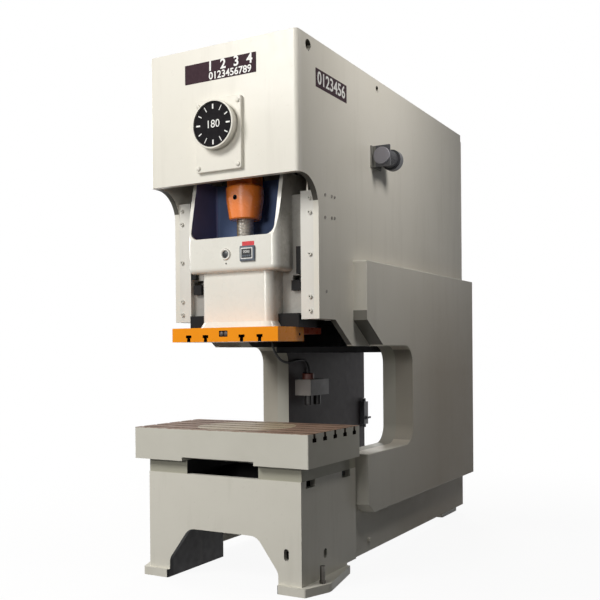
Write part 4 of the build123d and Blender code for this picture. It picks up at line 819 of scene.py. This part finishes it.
def side_screws():
    """Small set screws in the side plates, beside the guides; depths are from the head's front."""
    places = [(0.305, 2.120), (0.384, 2.123), (0.421, 2.123), (0.302, 1.996), (0.384, 2.003), (0.419, 2.006),
              (0.313, 1.592)]
    bm = bmesh.new()
    for depth, z in places:
        for sign in (1, -1):
            socket_screw(bm, (sign * side_x, head_y + depth, z), (sign, 0, 0), 0.009, 0.004)
    finish_piece(bm, "side_screws", screw_grey, "frame")


def sight_port():
    """Steel ring with a dark round glass, and the small screw under it."""
    port = (-0.030, ram_front, 1.806)
    bore = 0.020
    ring = [(bore, 0.0), (0.032, 0.0), (0.032, 0.006), (0.029, 0.010), (0.023, 0.010), (bore, 0.006),
            (bore, 0.0)]
    bm = bmesh.new()
    lathe(bm, ring, facing(port, FRONT), 40)
    finish_piece(bm, "port_ring", bright_steel, "ram")
    lens = [(0, 0), (0.0195, 0.0), (0.0195, 0.003), (0.012, 0.006), (0, 0.007)]
    bm = bmesh.new()
    lathe(bm, lens, facing(port, FRONT), 32)
    finish_piece(bm, "port_glass", black_plastic, "ram")
    bm = bmesh.new()
    dome_screw(bm, (-0.028, ram_front, 1.755), FRONT, 0.005, 0.004)
    finish_piece(bm, "port_screw", dark_steel, "ram")


def counter_trim():
    """The counter's bezel, window, digits and keys, and the blank red label above it."""
    centre = (counter_low + counter_high) / 2
    centre.y = counter_low.y
    width = counter_high.x - counter_low.x
    height = counter_high.z - counter_low.z
    bezel = (width * 0.80, height * 0.72, 0.003, 0.0015, 0.0004)
    plate_piece("counter_bezel", bezel, centre, FRONT, mark_white, "ram")
    window_thick = 0.0024
    window = (width * 0.70, height * 0.60, 0.002, window_thick, 0.0004)
    plate_piece("counter_window", window, centre, FRONT, black_plastic, "ram")
    digits_at = centre + Vector((0, -window_thick, height * 0.10))
    word("0000", "counter_digits", 0.020, digits_at, FRONT, "ram")
    key = (0.0095, 0.0095, 0.002, 0.0024, 0.0006)
    key_pitch = width * 0.15
    bm = bmesh.new()
    for column in range(4):
        spot = centre + Vector((key_pitch * (column - 1.5), -0.0022, -height * 0.17))
        plate(bm, *key, facing(spot, FRONT))
    finish_piece(bm, "counter_keys", counter_grey, "ram", smooth=False)
    label = (0.078, 0.024, 0.002, 0.0012, 0.0003)
    spot = (centre.x + 0.002, ram_front, counter_high.z + 0.0125)
    plate_piece("counter_label", label, spot, FRONT, red_plastic, "ram")


def clamp_screws():
    """Two round screw heads in the shank clamp at the front of the orange plate."""
    half_pitch = 0.0145
    recess_floor = orange_low.y + 0.008
    bm = bmesh.new()
    for x in (-half_pitch, half_pitch):
        dome_screw(bm, (x, recess_floor, clamp_z), FRONT, 0.0138, 0.0095)
    finish_piece(bm, "clamp_screws", clamp_brown, "ram")


dial_marks()
dial_trim()
plaques()
side_screws()
sight_port()
counter_trim()
clamp_screws()


# Stage, light and camera


def clear_rays(tree):
    """One for camera, glossy and transmission rays, nought for the rays that light the object."""
    path = tree.nodes.new("ShaderNodeLightPath")
    found = path.outputs["Is Camera Ray"]
    for kind in ("Is Glossy Ray", "Is Transmission Ray"):
        larger = tree.nodes.new("ShaderNodeMath")
        larger.operation = "MAXIMUM"
        tree.links.new(found, larger.inputs[0])
        tree.links.new(path.outputs[kind], larger.inputs[1])
        found = larger.outputs[0]
    return found


def diffuse(tree, level):
    """A matt grey shader."""
    node = tree.nodes.new("ShaderNodeBsdfDiffuse")
    node.inputs["Color"].default_value = (level, level, level, 1)
    return node.outputs[0]


def mixed(tree, factor, first, second):
    """Two shaders mixed by a factor."""
    node = tree.nodes.new("ShaderNodeMixShader")
    for source, socket in zip((factor, first, second), node.inputs):
        tree.links.new(source, socket)
    return node.outputs[0]


def stage_material():
    """Pale floor: matt to the light, near white to clear rays, with the object's shadow round its feet."""
    material = bpy.data.materials.new("stage_white")
    material.use_nodes = True
    tree = material.node_tree
    tree.nodes.clear()
    glow = tree.nodes.new("ShaderNodeEmission")
    glow.inputs["Strength"].default_value = 1.0
    place = tree.nodes.new("ShaderNodeTexCoord")
    distance = tree.nodes.new("ShaderNodeVectorMath")
    distance.operation = "LENGTH"
    tree.links.new(place.outputs["Object"], distance.inputs[0])
    shadow_reach = 1.0
    white_reach = 4.5
    share = tree.nodes.new("ShaderNodeMapRange")
    share.interpolation_type = "SMOOTHSTEP"
    share.inputs["From Min"].default_value = shadow_reach
    share.inputs["From Max"].default_value = white_reach
    share.inputs["To Min"].default_value = 0.93
    share.inputs["To Max"].default_value = 1.0
    tree.links.new(distance.outputs["Value"], share.inputs["Value"])
    white = mixed(tree, share.outputs["Result"], diffuse(tree, 0.90), glow.outputs[0])
    seen = mixed(tree, clear_rays(tree), diffuse(tree, 0.14), white)
    out = tree.nodes.new("ShaderNodeOutputMaterial")
    tree.links.new(seen, out.inputs["Surface"])
    return material


def world_light(strength):
    """Even sky light at this strength, and plain white to clear rays."""
    world = bpy.data.worlds.new("studio")
    bpy.context.scene.world = world
    world.use_nodes = True
    tree = world.node_tree
    background = tree.nodes["Background"]
    level = tree.nodes.new("ShaderNodeMapRange")
    level.inputs["To Min"].default_value = strength
    level.inputs["To Max"].default_value = 1.0
    tree.links.new(clear_rays(tree), level.inputs["Value"])
    tree.links.new(level.outputs["Result"], background.inputs["Strength"])
    background.inputs["Color"].default_value = (1.0, 1.0, 1.0, 1.0)


def lamp(name, place, target, size, energy, colour=(1.0, 0.985, 0.95)):
    """Area lamp, width by height, that looks at a target."""
    light = bpy.data.lights.new(name, "AREA")
    light.shape = "RECTANGLE"
    light.size, light.size_y = size
    light.energy = energy
    light.color = colour
    piece = bpy.data.objects.new(name, light)
    bpy.context.scene.collection.objects.link(piece)
    piece.location = place
    piece.rotation_euler = (Vector(target) - Vector(place)).to_track_quat("-Z", "Y").to_euler()
    return piece


reach = 40.0
corners = [(-reach, -reach, 0), (reach, -reach, 0), (reach, reach, 0), (-reach, reach, 0)]
floor_mesh = bpy.data.meshes.new("floor")
floor_mesh.from_pydata(corners, [], [(0, 1, 2, 3)])
floor_mesh.materials.append(stage_material())
floor = bpy.data.objects.new("floor", floor_mesh)
bpy.context.scene.collection.objects.link(floor)

world_light(0.05)
lamp("key", (-2.0, -6.6, 5.4), (0.0, -1.2, 2.2), (2.4, 2.4), 345.0)
lamp("fill", (0.5, -6.8, 2.3), (0.0, -1.2, 2.0), (1.6, 1.0), 85.0)
side = lamp("side", (2.6, -0.9, 4.6), (0.48, -0.2, 2.9), (1.0, 1.0), 14.0, (1.0, 0.965, 0.915))
side.data.spread = math.radians(80)
lamp("left", (-5.0, 0.6, 3.4), (-0.5, 0.0, 1.5), (2.0, 2.0), 120.0)
lamp("rear", (-1.6, 6.0, 3.4), (0.0, 1.0, 1.6), (1.6, 1.6), 170.0)

# Camera, from a fit to the press's straight edges in the photo
image_width = 600
image_centre = 300.0
focal_px = 863.0
axis_px = (285.0, 355.0)
yaw = 0.5187
pitch = -0.0047
roll = -0.0084
camera_place = (2.627, -3.913 + head_y, 1.267)

forward = Vector((-math.sin(yaw), math.cos(yaw), 0))
right = Vector((math.cos(yaw), math.sin(yaw), 0))
up = Vector((0, 0, 1))
ahead = forward * math.cos(pitch) + up * math.sin(pitch)
above = up * math.cos(pitch) - forward * math.sin(pitch)
rolled_right = right * math.cos(roll) + above * math.sin(roll)
rolled_up = above * math.cos(roll) - right * math.sin(roll)
camera_turn = Matrix((rolled_right, rolled_up, -ahead)).transposed().to_4x4()
camera_data = bpy.data.cameras.new("camera")
camera_data.sensor_width = 36.0
camera_data.sensor_fit = "HORIZONTAL"
camera_data.lens = focal_px / image_width * camera_data.sensor_width
camera_data.shift_x = (image_centre - axis_px[0]) / image_width
camera_data.shift_y = (axis_px[1] - image_centre) / image_width
camera = bpy.data.objects.new("camera", camera_data)
bpy.context.scene.collection.objects.link(camera)
camera.matrix_world = Matrix.Translation(camera_place) @ camera_turn
bpy.context.scene.camera = camera
bpy.context.scene.view_settings.view_transform = "Standard"
